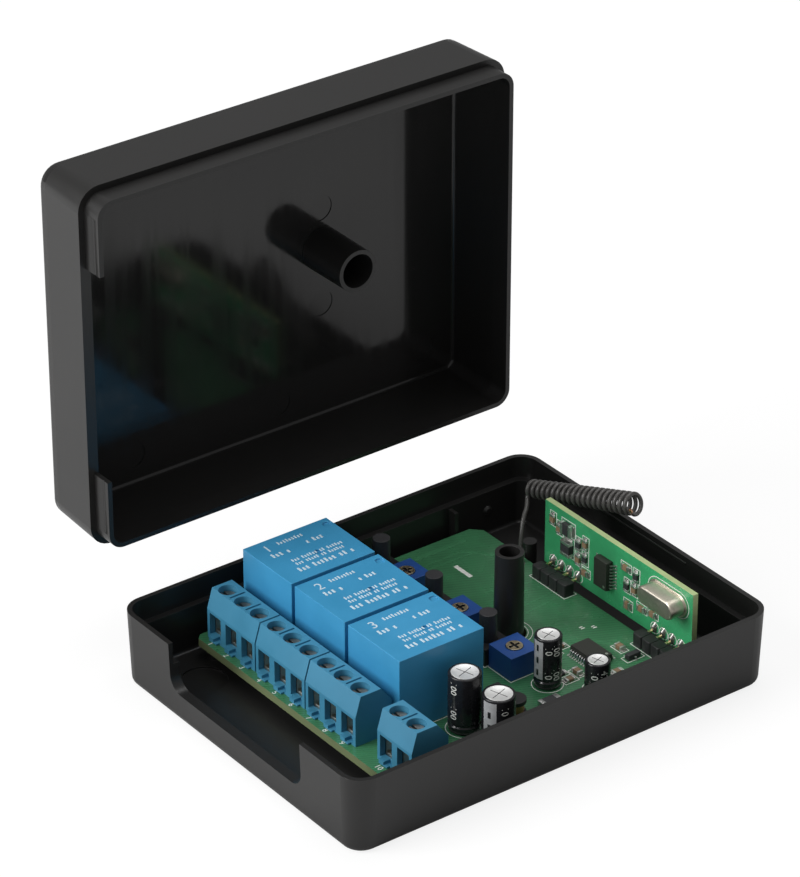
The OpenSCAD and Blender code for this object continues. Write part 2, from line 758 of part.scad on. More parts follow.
module button_base(k) {
    room_r = flange_r + flange_room;
    color("#1d1e20") translate([button_x, button_y(k), top_z]) difference() {
        translate([-button_s / 2, -button_s / 2, 0]) cube([button_s, button_s, button_base_h]);
        translate([0, 0, flange_z - button_travel - 0.05]) {
            cylinder(r = room_r, h = flange_h + button_travel + 0.1);
        }
        translate([0, 0, flange_z]) cylinder(r = button_r + 0.1, h = button_base_h);
    }
    color("#c8ccd0") for (p = button_pins(k)) lead(p[0], p[1], top_z, fine_r);
}

module button_stem(k) {
    color("#2b2c2e") translate([button_x, button_y(k), top_z]) {
        translate([0, 0, flange_z]) cylinder(r = flange_r, h = flange_h);
        translate([0, 0, flange_z]) cylinder(r = button_r, h = button_top - flange_z);
    }
}

module can(r, h) {
    bend = 0.5;
    rotate_extrude() polygon(concat(
        [[0, 0], [r - 0.3, 0], [r, 0.4], [r, 1.2], [r - 0.25, 1.5], [r - 0.25, 1.7], [r, 2]],
        [for (a = [0 : 30 : 90]) [r - bend + bend * cos(a), h - bend + bend * sin(a)]],
        [[r - 0.9, h], [r - 0.9, h - 0.15], [0, h - 0.15]]
    ));
}

module capacitors() {
    color("#202226") for (k = [1 : 4]) {
        translate([can_x(k), can_y(k), top_z + can_seat]) can(CANS[k - 1][2], CANS[k - 1][3]);
        for (p = can_pins(k)) lead(p[0], p[1], top_z + can_seat + 0.1, fine_r);
    }
}

module choke() {
    color("#2a2624") translate([choke_at[0], choke_at[1], top_z]) rotate_extrude() {
        polygon([[0, 0], [choke_r, 0], [choke_r, 0.8], [choke_r - 0.4, 0.9], [choke_r - 0.4, choke_h - 0.9],
                 [choke_r, choke_h - 0.8], [choke_r, choke_h], [0, choke_h]]);
    }
    for (s = [-1, 1]) lead(choke_at[0], choke_at[1] + s * can_lead, top_z + 0.1, fine_r);
}

module controller_chip() {
    s = chip_size;
    color("#25272a") translate([chip_at[0], chip_at[1], top_z]) {
        translate([-s[0] / 2, -s[1] / 2, 0.1]) cube(s);
        for (i = [0 : chip_leads - 1], x = [-1, 1]) {
            y = (i - (chip_leads - 1) / 2) * chip_pitch;
            translate([x > 0 ? s[0] / 2 - 0.1 : -s[0] / 2 - 1, y - 0.12, 0]) {
                cube([1.1, 0.24, 0.4]);
            }
        }
    }
}

// The small soldered parts of both boards
module chip_parts() {
    color("#6b5a48") {
        for (p = SMALL) translate([board_x + p[0] - p[2] / 2, p[1] - p[3] / 2, top_z]) {
            cube([p[2], p[3], p[4]]);
        }
        for (p = RADIO_PARTS) {
            translate([radio_x - p[4], radio_y + p[0] - p[2] / 2, radio_z + p[1] - p[3] / 2]) {
                cube([p[4], p[2], p[3]]);
            }
        }
    }
}

module radio_board() {
    color("#2f9a63") difference() {
        translate([radio_x, radio_y - radio_l / 2, radio_z]) cube([radio_t, radio_l, radio_h]);
        for (y = HEADERS, i = [-1.5 : 1 : 1.5]) {
            translate([radio_x - 1, y + i * pin_pitch, radio_z + pin_rise]) rotate([0, 90, 0]) {
                cylinder(r = pin_r + 0.1, h = radio_t + 2, $fn = 24);
            }
        }
    }
}

// Right-angle pin headers that join the two boards
module radio_headers() {
    mid = header_x + header_d / 2;
    reach = radio_x + radio_t + 0.6 - mid;
    color("#1c1d1f") for (y = HEADERS) {
        translate([header_x, y - header_l / 2, top_z]) cube([header_d, header_l, header_h]);
        for (i = [-1.5 : 1 : 1.5]) {
            lead(mid, y + i * pin_pitch, top_z + 0.5, pin_r);
            translate([mid, y + i * pin_pitch, radio_z + pin_rise]) rotate([0, 90, 0]) {
                cylinder(r = pin_r, h = reach);
            }
        }
    }
}

module radio_chip() {
    s = radio_chip_size;
    color("#2a2826") translate([radio_x, radio_chip_at[0], radio_z + radio_chip_at[1]]) {
        translate([-s[0] - 0.1, -s[1] / 2, -s[2] / 2]) cube(s);
        for (i = [0 : radio_chip_leads - 1], y = [-1, 1]) {
            z = (i - (radio_chip_leads - 1) / 2) * radio_chip_pitch;
            translate([-0.5, y > 0 ? s[1] / 2 - 0.1 : -s[1] / 2 - 1, z - 0.14]) cube([0.5, 1.1, 0.28]);
        }
    }
}

module crystal() {
    color("#c9c2b4") translate([radio_x, crystal_at[0], radio_z + crystal_at[1]]) rotate([0, -90, 0]) {
        linear_extrude(height = 0.4) {
            square([crystal_w, crystal_l - crystal_w], center = true);
            for (s = [-1, 1]) translate([0, s * (crystal_l - crystal_w) / 2]) circle(crystal_w / 2);
        }
        linear_extrude(height = crystal_h) {
            square([crystal_w - 0.8, crystal_l - crystal_w], center = true);
            for (s = [-1, 1]) translate([0, s * (crystal_l - crystal_w) / 2]) circle(crystal_w / 2 - 0.4);
        }
    }
}

// The coil's own directions: along its axis, and two across it
coil_len = norm(coil_end - coil_start);
coil_u = (coil_end - coil_start) / coil_len;
coil_v = cross(coil_u, [0, 0, 1]) / norm(cross(coil_u, [0, 0, 1]));
coil_w = cross(coil_u, coil_v);
rings = 8;
phase = 30;
function coil_point(a) = coil_start + coil_u * coil_len * a / (360 * turns)
    + (coil_r + coil_flare * a / (360 * turns)) * (cos(phase - a) * coil_v + sin(phase - a) * coil_w);
coil_path = [for (i = [0 : rings * turns]) coil_point(360 * i / rings)];
path = concat(LEAD, coil_path);

// A tube of the given number of sides along a path of points
function direction(p, i) = let (a = p[max(i - 1, 0)], b = p[min(i + 1, len(p) - 1)]) (b - a) / norm(b - a);
function across(d, before) = let (v = before - d * (before * d)) v / norm(v);
function frames(p, i = 0, v = [1, 0, 0], out = []) = i == len(p) ? out
    : let (w = across(direction(p, i), v)) frames(p, i + 1, w, concat(out, [w]));

module tube(p, r, sides) {
    turn = frames(p);
    points = [for (i = [0 : len(p) - 1], j = [0 : sides - 1])
        let (a = 360 * j / sides) p[i] + r * (cos(a) * turn[i] + sin(a) * cross(direction(p, i), turn[i]))];
    last = sides * (len(p) - 1);
    sides_faces = [for (i = [0 : len(p) - 2], j = [0 : sides - 1], k = [0, 1])
        let (a = i * sides + j, b = i * sides + (j + 1) % sides)
        k == 0 ? [a, b + sides, b] : [a, a + sides, b + sides]];
    start_cap = [for (j = [1 : sides - 2]) [0, j, j + 1]];
    end_cap = [for (j = [1 : sides - 2]) [last, last + j + 1, last + j]];
    polyhedron(points, concat(sides_faces, start_cap, end_cap));
}

// Least gap of the coil's wire to itself, from points at least half a turn apart
far = len(coil_path) - 1;
self_gap = min([for (i = [0 : far - rings / 2], j = [i + rings / 2 : min(i + 2 * rings, far)])
    norm(coil_path[i] - coil_path[j])]) - wire_d;
echo(coil_least_gap_mm = self_gap);

module antenna() {
    color("#202124") tube(path, wire_d / 2, 6);
}

tray();
lid();
main_board();
relay_bases();
relay_yokes();
relay_coils();
terminal_contacts();
capacitors();
choke();
controller_chip();
chip_parts();
radio_board();
radio_chip();
crystal();
radio_headers();
antenna();
for (k = [1 : 3]) relay_case(k);
for (k = [1 : 3]) relay_armature(k);
for (b = [1 : 4]) terminal_block(b);
for (i = [1 : 11]) clamp_screw(i);
for (i = [1 : 11]) clamp_cage(i);
for (k = [1 : 3]) trimmer_body(k);
for (k = [1 : 3]) trimmer_rotor(k);
for (k = [1 : 3]) button_base(k);
for (k = [1 : 3]) button_stem(k);
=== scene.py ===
"""A three-relay radio receiver shown open, with its lid held upright behind the tray.

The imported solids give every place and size. This script dresses them: the case, the two circuit
boards with their print and solder, the relays, terminals, trimmers, buttons, capacitors, chips and
the coiled aerial. Lengths are in millimetres until a mesh is made, and in metres after that.
"""

import json
from functools import cache
from math import cos, pi, radians, sin

import bmesh
import bpy
import numpy as np
from bpy.types import Operator, Panel, PropertyGroup
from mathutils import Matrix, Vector


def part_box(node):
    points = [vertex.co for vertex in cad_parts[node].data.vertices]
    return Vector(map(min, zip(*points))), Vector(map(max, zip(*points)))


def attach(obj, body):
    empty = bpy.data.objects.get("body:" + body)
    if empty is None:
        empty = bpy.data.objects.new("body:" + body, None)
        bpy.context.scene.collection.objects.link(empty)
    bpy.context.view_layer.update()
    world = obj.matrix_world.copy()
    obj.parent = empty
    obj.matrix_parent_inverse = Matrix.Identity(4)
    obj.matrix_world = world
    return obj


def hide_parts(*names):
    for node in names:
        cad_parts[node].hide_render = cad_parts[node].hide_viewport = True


bl_info = {
    "name": "Relay receiver",
    "version": (1, 0, 0),
    "blender": (4, 5, 0),
    "location": "3D View > Sidebar > Receiver",
    "description": "Dresses the packed relay receiver and sets its stage",
    "category": "Object",
}

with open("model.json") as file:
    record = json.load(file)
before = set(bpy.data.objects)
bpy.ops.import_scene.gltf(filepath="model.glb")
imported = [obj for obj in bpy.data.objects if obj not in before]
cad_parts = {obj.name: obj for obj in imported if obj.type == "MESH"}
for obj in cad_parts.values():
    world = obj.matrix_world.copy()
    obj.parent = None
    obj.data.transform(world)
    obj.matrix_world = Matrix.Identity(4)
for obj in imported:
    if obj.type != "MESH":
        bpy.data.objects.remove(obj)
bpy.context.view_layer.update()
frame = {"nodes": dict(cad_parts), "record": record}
RECORD = frame["record"]
BODY_OF = {n: body for body, nodes in RECORD["behaviour"]["bodies"].items() for n in nodes}
SLOT_OF = {row["node"]: row["material_slot"] for row in RECORD["subparts"]}
MM = 0.001
FILM = 0.02  # thickness of print and of film on film
LIFT = 0.005  # print stands this far over its surface
POLES = 11  # of the terminals
MERGE, SEAM = 2e-6, 1e-7  # in metres, how near two points of a packed or a new mesh are one


def corners(node):
    """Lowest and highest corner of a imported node, in millimetres."""
    low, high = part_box(node)
    return np.array(low) / MM, np.array(high) / MM


def numbered(stem, count):
    """The names of a row of like nodes."""
    return [f"{stem}_{i}" for i in range(1, count + 1)]


def about_z(c, s):
    """Local axes as rows, turned about Z by the angle whose cosine is c and whose sine is s."""
    return np.array([[c, s, 0], [-s, c, 0], [0, 0, 1]], float)


# Local axes as rows: upright, out of the radio board towards -X and towards +X, a quarter turn,
# and print that reads from the terminals' side
UP = np.eye(3)
FACING = np.array([[0, -1, 0], [0, 0, 1], [-1, 0, 0]], float)
ALONG = np.array([[0, 1, 0], [0, 0, 1], [1, 0, 0]], float)
QUARTER, READING = about_z(0, 1), about_z(0, -1)
BOARD_LOW, BOARD_HIGH = corners("main_board")
TOP = BOARD_HIGH[2]
RADIO_LOW, RADIO_HIGH = corners("radio_board")


def above(low, high, z):
    """The point at height z over the middle of a box."""
    return (*(low + high)[:2] / 2, z)


def behind(low, high):
    """The point of the radio board's near face behind the middle of a box."""
    return (RADIO_LOW[0], *(low + high)[1:] / 2)


def merged(node):
    """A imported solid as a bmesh, its doubles merged."""
    source = bmesh.new()
    source.from_mesh(frame["nodes"][node].data)
    bmesh.ops.remove_doubles(source, verts=source.verts, dist=MERGE)
    return source


def shown(name, data):
    """A new object with that data, in the scene."""
    made = bpy.data.objects.new(name, data)
    bpy.context.scene.collection.objects.link(made)
    return made


def islands(node):
    """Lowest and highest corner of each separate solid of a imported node."""
    source = merged(node)
    left, found = set(source.verts), []
    while left:
        group, ahead = set(), {left.pop()}
        while ahead:
            vert = ahead.pop()
            group.add(vert)
            ahead |= {edge.other_vert(vert) for edge in vert.link_edges} - group
        left -= group
        points = np.array([tuple(vert.co) for vert in group]) / MM
        found.append((points.min(0), points.max(0)))
    source.free()
    return sorted(found, key=lambda pair: tuple(pair[0]))


# Forms

def circle(radius, count):
    """Points round a circle: radius times (cos a, sin a), a going once round from 0."""
    a = np.linspace(0, 2 * pi, count, endpoint=False)
    return radius * np.stack([np.cos(a), np.sin(a)], 1)


def rounded(length, width, radius, steps=3):
    """A rounded rectangle: each corner's centre plus radius times (cos a, sin a), anticlockwise."""
    least = 1e-4
    radius = max(min(radius, length / 2 - least, width / 2 - least), least)
    a = np.linspace(0, pi / 2, steps + 1)
    x, y = length / 2 - radius, width / 2 - radius
    parts = []
    for quarter, (cx, cy) in enumerate([(x, y), (-x, y), (-x, -y), (x, -y)]):
        b = a + quarter * pi / 2
        parts.append(np.stack([cx + radius * np.cos(b), cy + radius * np.sin(b)], 1))
    return np.concatenate(parts)


def lifted(outlines, heights):
    """Rings in space: outline i set at height i."""
    rings = np.zeros((len(outlines), len(outlines[0]), 3))
    for ring, outline, height in zip(rings, outlines, heights):
        ring[:, :2], ring[:, 2] = outline, height
    return rings


def slab_rings(length, width, height, corner, soft):
    """A block with its upright corners rounded and its top edge eased through a quarter circle."""
    levels = [(0.0, 0.0)] + [(soft * (1 - cos(t)), height - soft + soft * sin(t))
                             for t in np.linspace(0, pi / 2, 4)]
    outlines = [rounded(length - 2 * s, width - 2 * s, corner - s) for s, _ in levels]
    return lifted(outlines, [z for _, z in levels])


def turned_rings(profile, count):
    """A lathe shape: at each (r, z) of the profile, a circle of radius r at height z."""
    return lifted([circle(max(r, 1e-3), count) for r, _ in profile], [z for _, z in profile])


def gull_rings(reach, rise, width, thick):
    """A flat lead along +X: it leaves a chip level, bends down and ends in a level foot."""
    bends = [(-0.1, 0, rise), (0.2 * reach, 0, rise), (0.4 * reach, 0, rise * 0.6),
             (0.6 * reach, 0, thick / 2), (reach, 0, thick / 2)]
    w, t = width / 2, thick / 2
    return swept_rings(smooth_path(bends, 3), [(-w, -t), (w, -t), (w, t), (-w, t)], (0, 1, 0))


def swept_rings(path, outline, start):
    """An outline carried along a path. Its first axis is kept square to the path by taking away
    what lies along the path's direction, point after point."""
    along = np.gradient(path, axis=0)
    along /= np.linalg.norm(along, axis=1)[:, None]
    side, sides = np.asarray(start, float), []
    for d in along:
        side = side - d * (side @ d)
        side = side / np.linalg.norm(side)
        sides.append(side)
    sides = np.array(sides)
    other = np.cross(along, sides)
    u, v = np.asarray(outline, float).T[:, None, :, None]
    return path[:, None] + u * sides[:, None] + v * other[:, None]


def smooth_path(points, count):
    """A Catmull-Rom curve: between two points, the cubic that leaves each along the line joining
    its neighbours, sampled count times."""
    p = np.asarray(points, float)
    p = np.vstack([2 * p[0] - p[1], p, 2 * p[-1] - p[-2]])
    t = np.linspace(0, 1, count, endpoint=False)[:, None]
    pieces = []
    for a, b, c, d in zip(p[:-3], p[1:-2], p[2:-1], p[3:]):
        pieces.append(0.5 * (2 * b + (c - a) * t + (2 * a - 5 * b + 4 * c - d) * t ** 2
                             + (3 * b - 3 * c + d - a) * t ** 3))
    return np.vstack(pieces + [p[-2:-1]])


class Form:
    """Surfaces in millimetres that become one mesh, each with the number of its finish."""

    def __init__(self):
        self.points, self.faces, self.finish, self.count = [], [], [], 0

    def add(self, points, faces, finish, rows, origin):
        """Points and faces as they are, turned to the rows and moved to the origin."""
        placed = points.reshape(-1, 3) @ rows + origin
        self.points.append(placed)
        self.faces += [[v + self.count for v in face] for face in faces]
        self.finish += [finish] * len(faces)
        self.count += len(placed)

    def loft(self, rings, finish=0, rows=UP, origin=(0, 0, 0), caps=True):
        """A skin over rings of points: point j of ring i joins point j of ring i + 1. A flat face
        closes each end, or without caps the last ring joins the first."""
        n, m = rings.shape[:2]
        i, j = np.meshgrid(np.arange(n - 1 if caps else n), np.arange(m), indexing="ij")
        k, up = (j + 1) % m, (i + 1) % n
        quads = np.stack([i * m + j, i * m + k, up * m + k, up * m + j], -1).reshape(-1, 4)
        faces = quads.tolist()
        if caps:
            faces += [list(range(m - 1, -1, -1)), list(range((n - 1) * m, n * m))]
        self.add(rings, faces, finish, rows, origin)

    def slab(self, size, origin, finish=0, corner=0.1, soft=0.08, rows=UP):
        """An eased block that stands on its origin."""
        self.loft(slab_rings(*size, corner, min(soft, size[2] / 2)), finish, rows, origin)

    def band(self, outer, inner, origin, finish=0, rows=UP):
        """A thin flat border between two like outlines."""
        thick = 0.03
        rings = lifted([outer, outer, inner, inner], [0, thick, thick, 0])
        self.loft(rings, finish, rows, origin, caps=False)

    def border(self, length, width, origin, finish=0, rows=UP):
        """A printed rectangle."""
        corner, line = 0.1, 0.16
        outer, inner = (rounded(length - 2 * c, width - 2 * c, corner, 2) for c in (0, line))
        self.band(outer, inner, origin, finish, rows)

    def ring(self, radius, line, origin, finish=0, rows=UP):
        """A printed circle."""
        self.band(circle(radius, 64), circle(radius - line, 64), origin, finish, rows)

    def patch(self, radius, turn, heights, origin, finish):
        """A curved plate on a can, between two angles and two heights."""
        step = 0.12
        a = np.linspace(turn[0], turn[1], int((turn[1] - turn[0]) / step) + 3)
        across = radius + FILM * np.array([0, 1, 1, 0])
        up = np.broadcast_to(np.repeat(heights, 2), (len(a), 4))
        rings = [np.outer(np.cos(a), across), np.outer(np.sin(a), across), up]
        self.loft(np.stack(rings, -1), finish, UP, origin)

    def words(self, counts, height, origin, rows=UP):
        """A line of plain upright ticks in the place of print, so many to each word."""
        x, pitch = 0.0, height * 0.62
        for count in counts:
            for i in range(count):
                tall = height * (1.0, 0.72, 0.86)[(i + count) % 3]
                middle = origin + np.array([x, (tall - height) / 2, 0]) @ rows
                self.slab((height * 0.34, tall, FILM), middle, 0, height * 0.1, 0.01, rows)
                x += pitch
            x += pitch * 0.9

    def numeral(self, text, size, origin, finish=0, rows=UP, wrap=0.0):
        """A short number as a thin plate, from Blender's own plain font, centred on its origin.
        Wrapped on a radius it reads downwards: y becomes the angle y / radius, and x the depth."""
        curve = bpy.data.curves.new("numeral", "FONT")
        curve.body, curve.size, curve.extrude = text, size, FILM / 2
        curve.resolution_u = 3
        curve.align_x, curve.align_y = "CENTER", "CENTER"
        holder = shown("numeral", curve)
        bpy.context.view_layer.update()
        graph = bpy.context.evaluated_depsgraph_get()
        mesh = bpy.data.meshes.new_from_object(holder.evaluated_get(graph))
        points = np.zeros(len(mesh.vertices) * 3)
        mesh.vertices.foreach_get("co", points)
        points = points.reshape(-1, 3) + (0, 0, FILM / 2)
        if wrap:
            a, out = points[:, 1] / wrap, wrap + points[:, 2]
            points = np.stack([out * np.cos(a), out * np.sin(a), -points[:, 0]], 1)
        self.add(points, [tuple(face.vertices) for face in mesh.polygons], finish, rows, origin)
        bpy.data.objects.remove(holder)
        bpy.data.meshes.remove(mesh)
        bpy.data.curves.remove(curve)

    def dressed(self, node, names, smooth=35):
        """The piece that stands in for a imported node."""
        self.piece(node + "_dressed", names, SLOT_OF[node], [node], smooth)

    def piece(self, name, names, slot, replaces=(), smooth=35):
        """The mesh as an object at the origin that rides on the case, its seams closed and its
        faces turned outwards."""
        mesh = bpy.data.meshes.new(name)
        points = np.concatenate(self.points) * MM
        mesh.from_pydata(points.tolist(), [], self.faces)
        coat(mesh, names)
        mesh.polygons.foreach_set("material_index", np.array(self.finish, np.int32))
        shape = bmesh.new()
        shape.from_mesh(mesh)
        bmesh.ops.remove_doubles(shape, verts=shape.verts, dist=SEAM)
        bmesh.ops.recalc_face_normals(shape, faces=shape.faces)
        shape.to_mesh(mesh)
        shape.free()
        settle(name, mesh, "case", replaces, smooth)


def coat(mesh, names):
    """The mesh takes the finishes of those names, in that order, and its faces the first."""
    mesh.materials.clear()
    for name in names:
        mesh.materials.append(finishes()[name])


def dress(nodes, name):
    """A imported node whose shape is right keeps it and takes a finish."""
    for node in nodes:
        coat(frame["nodes"][node].data, [name])


def settle(name, mesh, body, replaces, smooth, bevel=0.0, crisp=()):
    """A finished mesh becomes a piece: smooth shaded, its edges eased, riding on its body."""
    mesh.shade_smooth()
    mesh.set_sharp_from_angle(angle=radians(smooth))
    for i in crisp:
        mesh.edges[i].use_edge_sharp = True
    made = shown(name, mesh)
    if bevel:
        ease = made.modifiers.new("Eased edges", "BEVEL")
        ease.width, ease.segments = bevel * MM, 3
        ease.limit_method, ease.angle_limit = "ANGLE", radians(smooth)
        ease.harden_normals = True
    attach(made, body)
    if replaces:
        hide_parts(*replaces)


def softened(node, names, width, smooth=32, choose=None):
    """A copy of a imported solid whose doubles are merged, whose flat faces are joined and whose
    edges are eased. A wide flat face ends in a crisp line where it meets its fillet. choose gives
    each face's finish from its middle and its normal."""
    source = merged(node)
    bmesh.ops.dissolve_limit(source, angle_limit=radians(0.6),
                             verts=source.verts, edges=source.edges)
    wide, level_angle = 60 * MM ** 2, 0.01
    flat = [face for face in source.faces if face.calc_area() > wide]
    level = set(flat)
    for face in flat:
        for other in {other for edge in face.edges for other in edge.link_faces} - level:
            if other.normal.angle(face.normal, 1.0) < level_angle:
                level.add(other)
                flat.append(other)
    crisp = []
    for edge in source.edges:
        beside = sum(face in level for face in edge.link_faces)
        if beside and (beside < len(edge.link_faces)
                       or edge.calc_face_angle(0.0) > level_angle):
            crisp.append(edge.index)
    mesh = bpy.data.meshes.new(node + "_dressed")
    source.to_mesh(mesh)
    source.free()
    coat(mesh, names)
    picked = np.zeros(len(mesh.polygons), np.int32)
    if choose:
        middles = np.array([tuple(face.center) for face in mesh.polygons]) / MM
        normals = np.array([tuple(face.normal) for face in mesh.polygons])
        picked = choose(middles, normals).astype(np.int32)
    mesh.polygons.foreach_set("material_index", picked)
    settle(mesh.name, mesh, BODY_OF[node], [node], smooth, width, crisp)


def add_chip(form, span, length, leads, pitch, origin, rows):
    """A chip with gull-wing leads, and a dot at its first. Its span is from lead to lead.
    Finishes: 0 body, 1 lead, 2 solder."""
    high, gap, reach = 1.5, 0.1, 1.0
    width = span - 2 * reach
    outlines = [rounded(width - 2 * c, length - 2 * c, 0.08, 1) for c in (0.1, 0, 0, 0.12)]
    levels = [gap, gap + high * 0.42, gap + high * 0.55, gap + high]
    form.loft(lifted(outlines, levels), 0, rows, origin)
    foot = gull_rings(reach, gap + high * 0.48, pitch * 0.42, 0.14)
    for side in (1, -1):
        for i in range(leads):
            place = origin + np.array([side * width / 2, (i - (leads - 1) / 2) * pitch, 0]) @ rows
            form.loft(foot, 1, about_z(side, 0) @ rows, place)
            end = place + np.array([side * (reach - 0.1), 0, 0]) @ rows
            form.slab((0.55, pitch * 0.6, 0.07), end, 2, 0.1, 0.05, rows)
    dot = origin + np.array([0.3 * width, 0.8 - length / 2, gap + high]) @ rows
    form.loft(turned_rings([(0.3, 0), (0.3, 0.01)], 16), 2, rows, dot)


def add_small(form, low, high, body, facing):
    """A small soldered part in its box: end caps on a chip, tabs on a block, or a transistor's
    three leads. Finishes: 0 tan, 1 dark, 2 tin, 3 solder, 4 print."""
    (dx, dy, dz), base = high - low, (low + high) / 2
    if facing:
        rows, size, base[0] = FACING, (dy, dz, dx), high[0]
    else:
        rows, size, base[2] = UP, (dx, dy, dz), low[2]
    if size[1] > size[0]:
        rows, size = QUARTER @ rows, (size[1], size[0], size[2])
    length, width, height = size
    form.border(length + 1.3, width + 0.8, base, 4, rows)
    transistor, near = 2.9, 0.05
    if abs(length - transistor) < near:
        form.slab((length, width * 0.95, height), base, 1, 0.1, 0.12, rows)
        for side, x in ((1, -0.95), (1, 0.95), (-1, 0.0)):
            place = base + np.array([x, side * width * 0.45, 0]) @ rows
            form.loft(gull_rings(0.75, 0.5, 0.4, 0.14), 2, about_z(0, side) @ rows, place)
        return
    cap = 0.22 * length
    form.slab((length - 0.12, width - 0.06, height - 0.04), base, body, 0.05, 0.05, rows)
    for side in (-1, 1):
        for block, x, finish, ease in (((cap, width, height), (length - cap) / 2, 2, 0.06),
                                       ((0.6, width * 0.9, 0.22), length / 2 + 0.1, 3, 0.2)):
            form.slab(block, base + np.array([side * x, 0, 0]) @ rows, finish, ease, ease, rows)


# Finishes

class Value:
    """One socket of a node tree. Arithmetic on it writes the Math nodes."""

    def __init__(self, nodes, socket):
        self.nodes, self.socket = nodes, socket

    def __add__(self, other):
        return self.nodes.math("ADD", self, other)

    def __sub__(self, other):
        return self.nodes.math("SUBTRACT", self, other)

    def __rsub__(self, other):
        return self.nodes.math("SUBTRACT", other, self)

    def __mul__(self, other):
        return self.nodes.math("MULTIPLY", self, other)

    def __abs__(self):
        return self.nodes.math("ABSOLUTE", self)

    __radd__, __rmul__ = __add__, __mul__


class Nodes:
    """A node tree, with the one method that adds any node to it."""

    def __init__(self, tree):
        self.tree = tree

    def feed(self, socket, value):
        """A link where the value is a socket, and otherwise a plain setting."""
        if isinstance(value, Value):
            self.tree.links.new(value.socket, socket)
        else:
            socket.default_value = value

    def node(self, kind, settings=None, sockets=None, out=0):
        """A node of that type: its settings first, then the values or links of its sockets."""
        made = self.tree.nodes.new("ShaderNode" + kind)
        for name, value in (settings or {}).items():
            setattr(made, name, value)
        for key, value in (sockets or {}).items():
            self.feed(made.inputs[key], value)
        return Value(self, made.outputs[out])

    def math(self, operation, a, b=0.0):
        return self.node("Math", {"operation": operation}, {0: a, 1: b})


class Finish(Nodes):
    """One material with its shader."""

    def __init__(self, name, color, rough, metal=0.0, **constants):
        self.material = bpy.data.materials.new(name)
        self.material.use_nodes = True
        super().__init__(self.material.node_tree)
        self.surface(Base_Color=(*color, 1), Roughness=rough, Metallic=metal, **constants)

    def surface(self, **values):
        """Values or links for the shader's sockets, with _ for the space in a socket's name."""
        for key, value in values.items():
            self.feed(self.tree.nodes["Principled BSDF"].inputs[key.replace("_", " ")], value)

    def place(self):
        """The point on the piece, in millimetres."""
        point = self.node("TexCoord", out=3)
        return self.node("VectorMath", {"operation": "SCALE"}, {0: point, "Scale": 1 / MM})

    def stretched(self, point, factors):
        """The point with each of its numbers times its own factor."""
        return self.node("VectorMath", {"operation": "MULTIPLY"}, {0: point, 1: factors})

    def axes(self, point):
        """The three numbers of a point."""
        split = self.node("SeparateXYZ", None, {0: point})
        return [Value(self, socket) for socket in split.socket.node.outputs]

    def noise(self, point, scale, detail, rough=0.5):
        return self.node("TexNoise", None,
                         {"Vector": point, "Scale": scale, "Detail": detail, "Roughness": rough})

    def zigzag(self, value):
        """Up and down between 0 and 0.5, once for each unit of the value."""
        return abs(self.math("FRACT", value) - 0.5)

    def ramp(self, value, low, high, start=0.0, end=1.0):
        """A smooth step from start to end while value goes from low to high."""
        return self.node("MapRange", {"interpolation_type": "SMOOTHSTEP"},
                         {"Value": value, 1: low, 2: high, 3: start, 4: end})

    def mixed(self, mask, a, b):
        """Colour a where the mask is 0 and b where it is 1."""
        a = a if isinstance(a, Value) else (*a, 1)
        b = b if isinstance(b, Value) else (*b, 1)
        return self.node("Mix", {"data_type": "RGBA"}, {0: mask, 6: a, 7: b}, out=2)

    def color(self, value):
        self.surface(Base_Color=value)

    def rough(self, value):
        self.surface(Roughness=value)

    def bump(self, height, depth):
        """Relief of a height field, its depth in millimetres."""
        self.surface(Normal=self.node("Bump", None, {"Height": height, "Distance": depth * MM}))


def shade(color, factor):
    """A colour made lighter or darker."""
    return tuple(min(1.0, c * factor) for c in color)


def moulded(name, color, rough, grain=0.012, fleck=0.16, scale=5.0):
    """Moulded plastic: a fine spark-eroded grain, slow changes of gloss, and faint dust."""
    f = Finish(name, color, rough)
    point = f.place()
    fine = f.noise(point, scale, 3.0, 0.6)
    slow = f.noise(point, 0.12, 3.0, 0.6)
    dust = f.ramp(f.noise(point, 1.6, 4.0, 0.7), 0.62, 0.78)
    clean = f.mixed(slow, shade(color, 0.86), shade(color, 1.12))
    f.color(f.mixed(dust * fleck, clean, (0.34, 0.34, 0.33)))
    f.rough(f.ramp(slow, 0.3, 0.7, rough - 0.05, rough + 0.06) + dust * 0.12)
    f.bump(fine, grain)
    return f


def metal(name, color, rough, scale=3.0, grain=0.006, stain=0.25, shine=1.0):
    """Plated or rolled metal: small scratches and dull patches."""
    f = Finish(name, color, rough, shine)
    point = f.place()
    fine = f.noise(point, scale * 3, 4.0, 0.7)
    patch = f.ramp(f.noise(point, scale * 0.4, 3.0), 0.45, 0.7)
    f.color(f.mixed(patch * stain, color, shade(color, 0.62)))
    f.rough(f.ramp(fine, 0.25, 0.75, rough - 0.07, rough + 0.1) + patch * 0.1)
    f.bump(fine, grain)
    return f


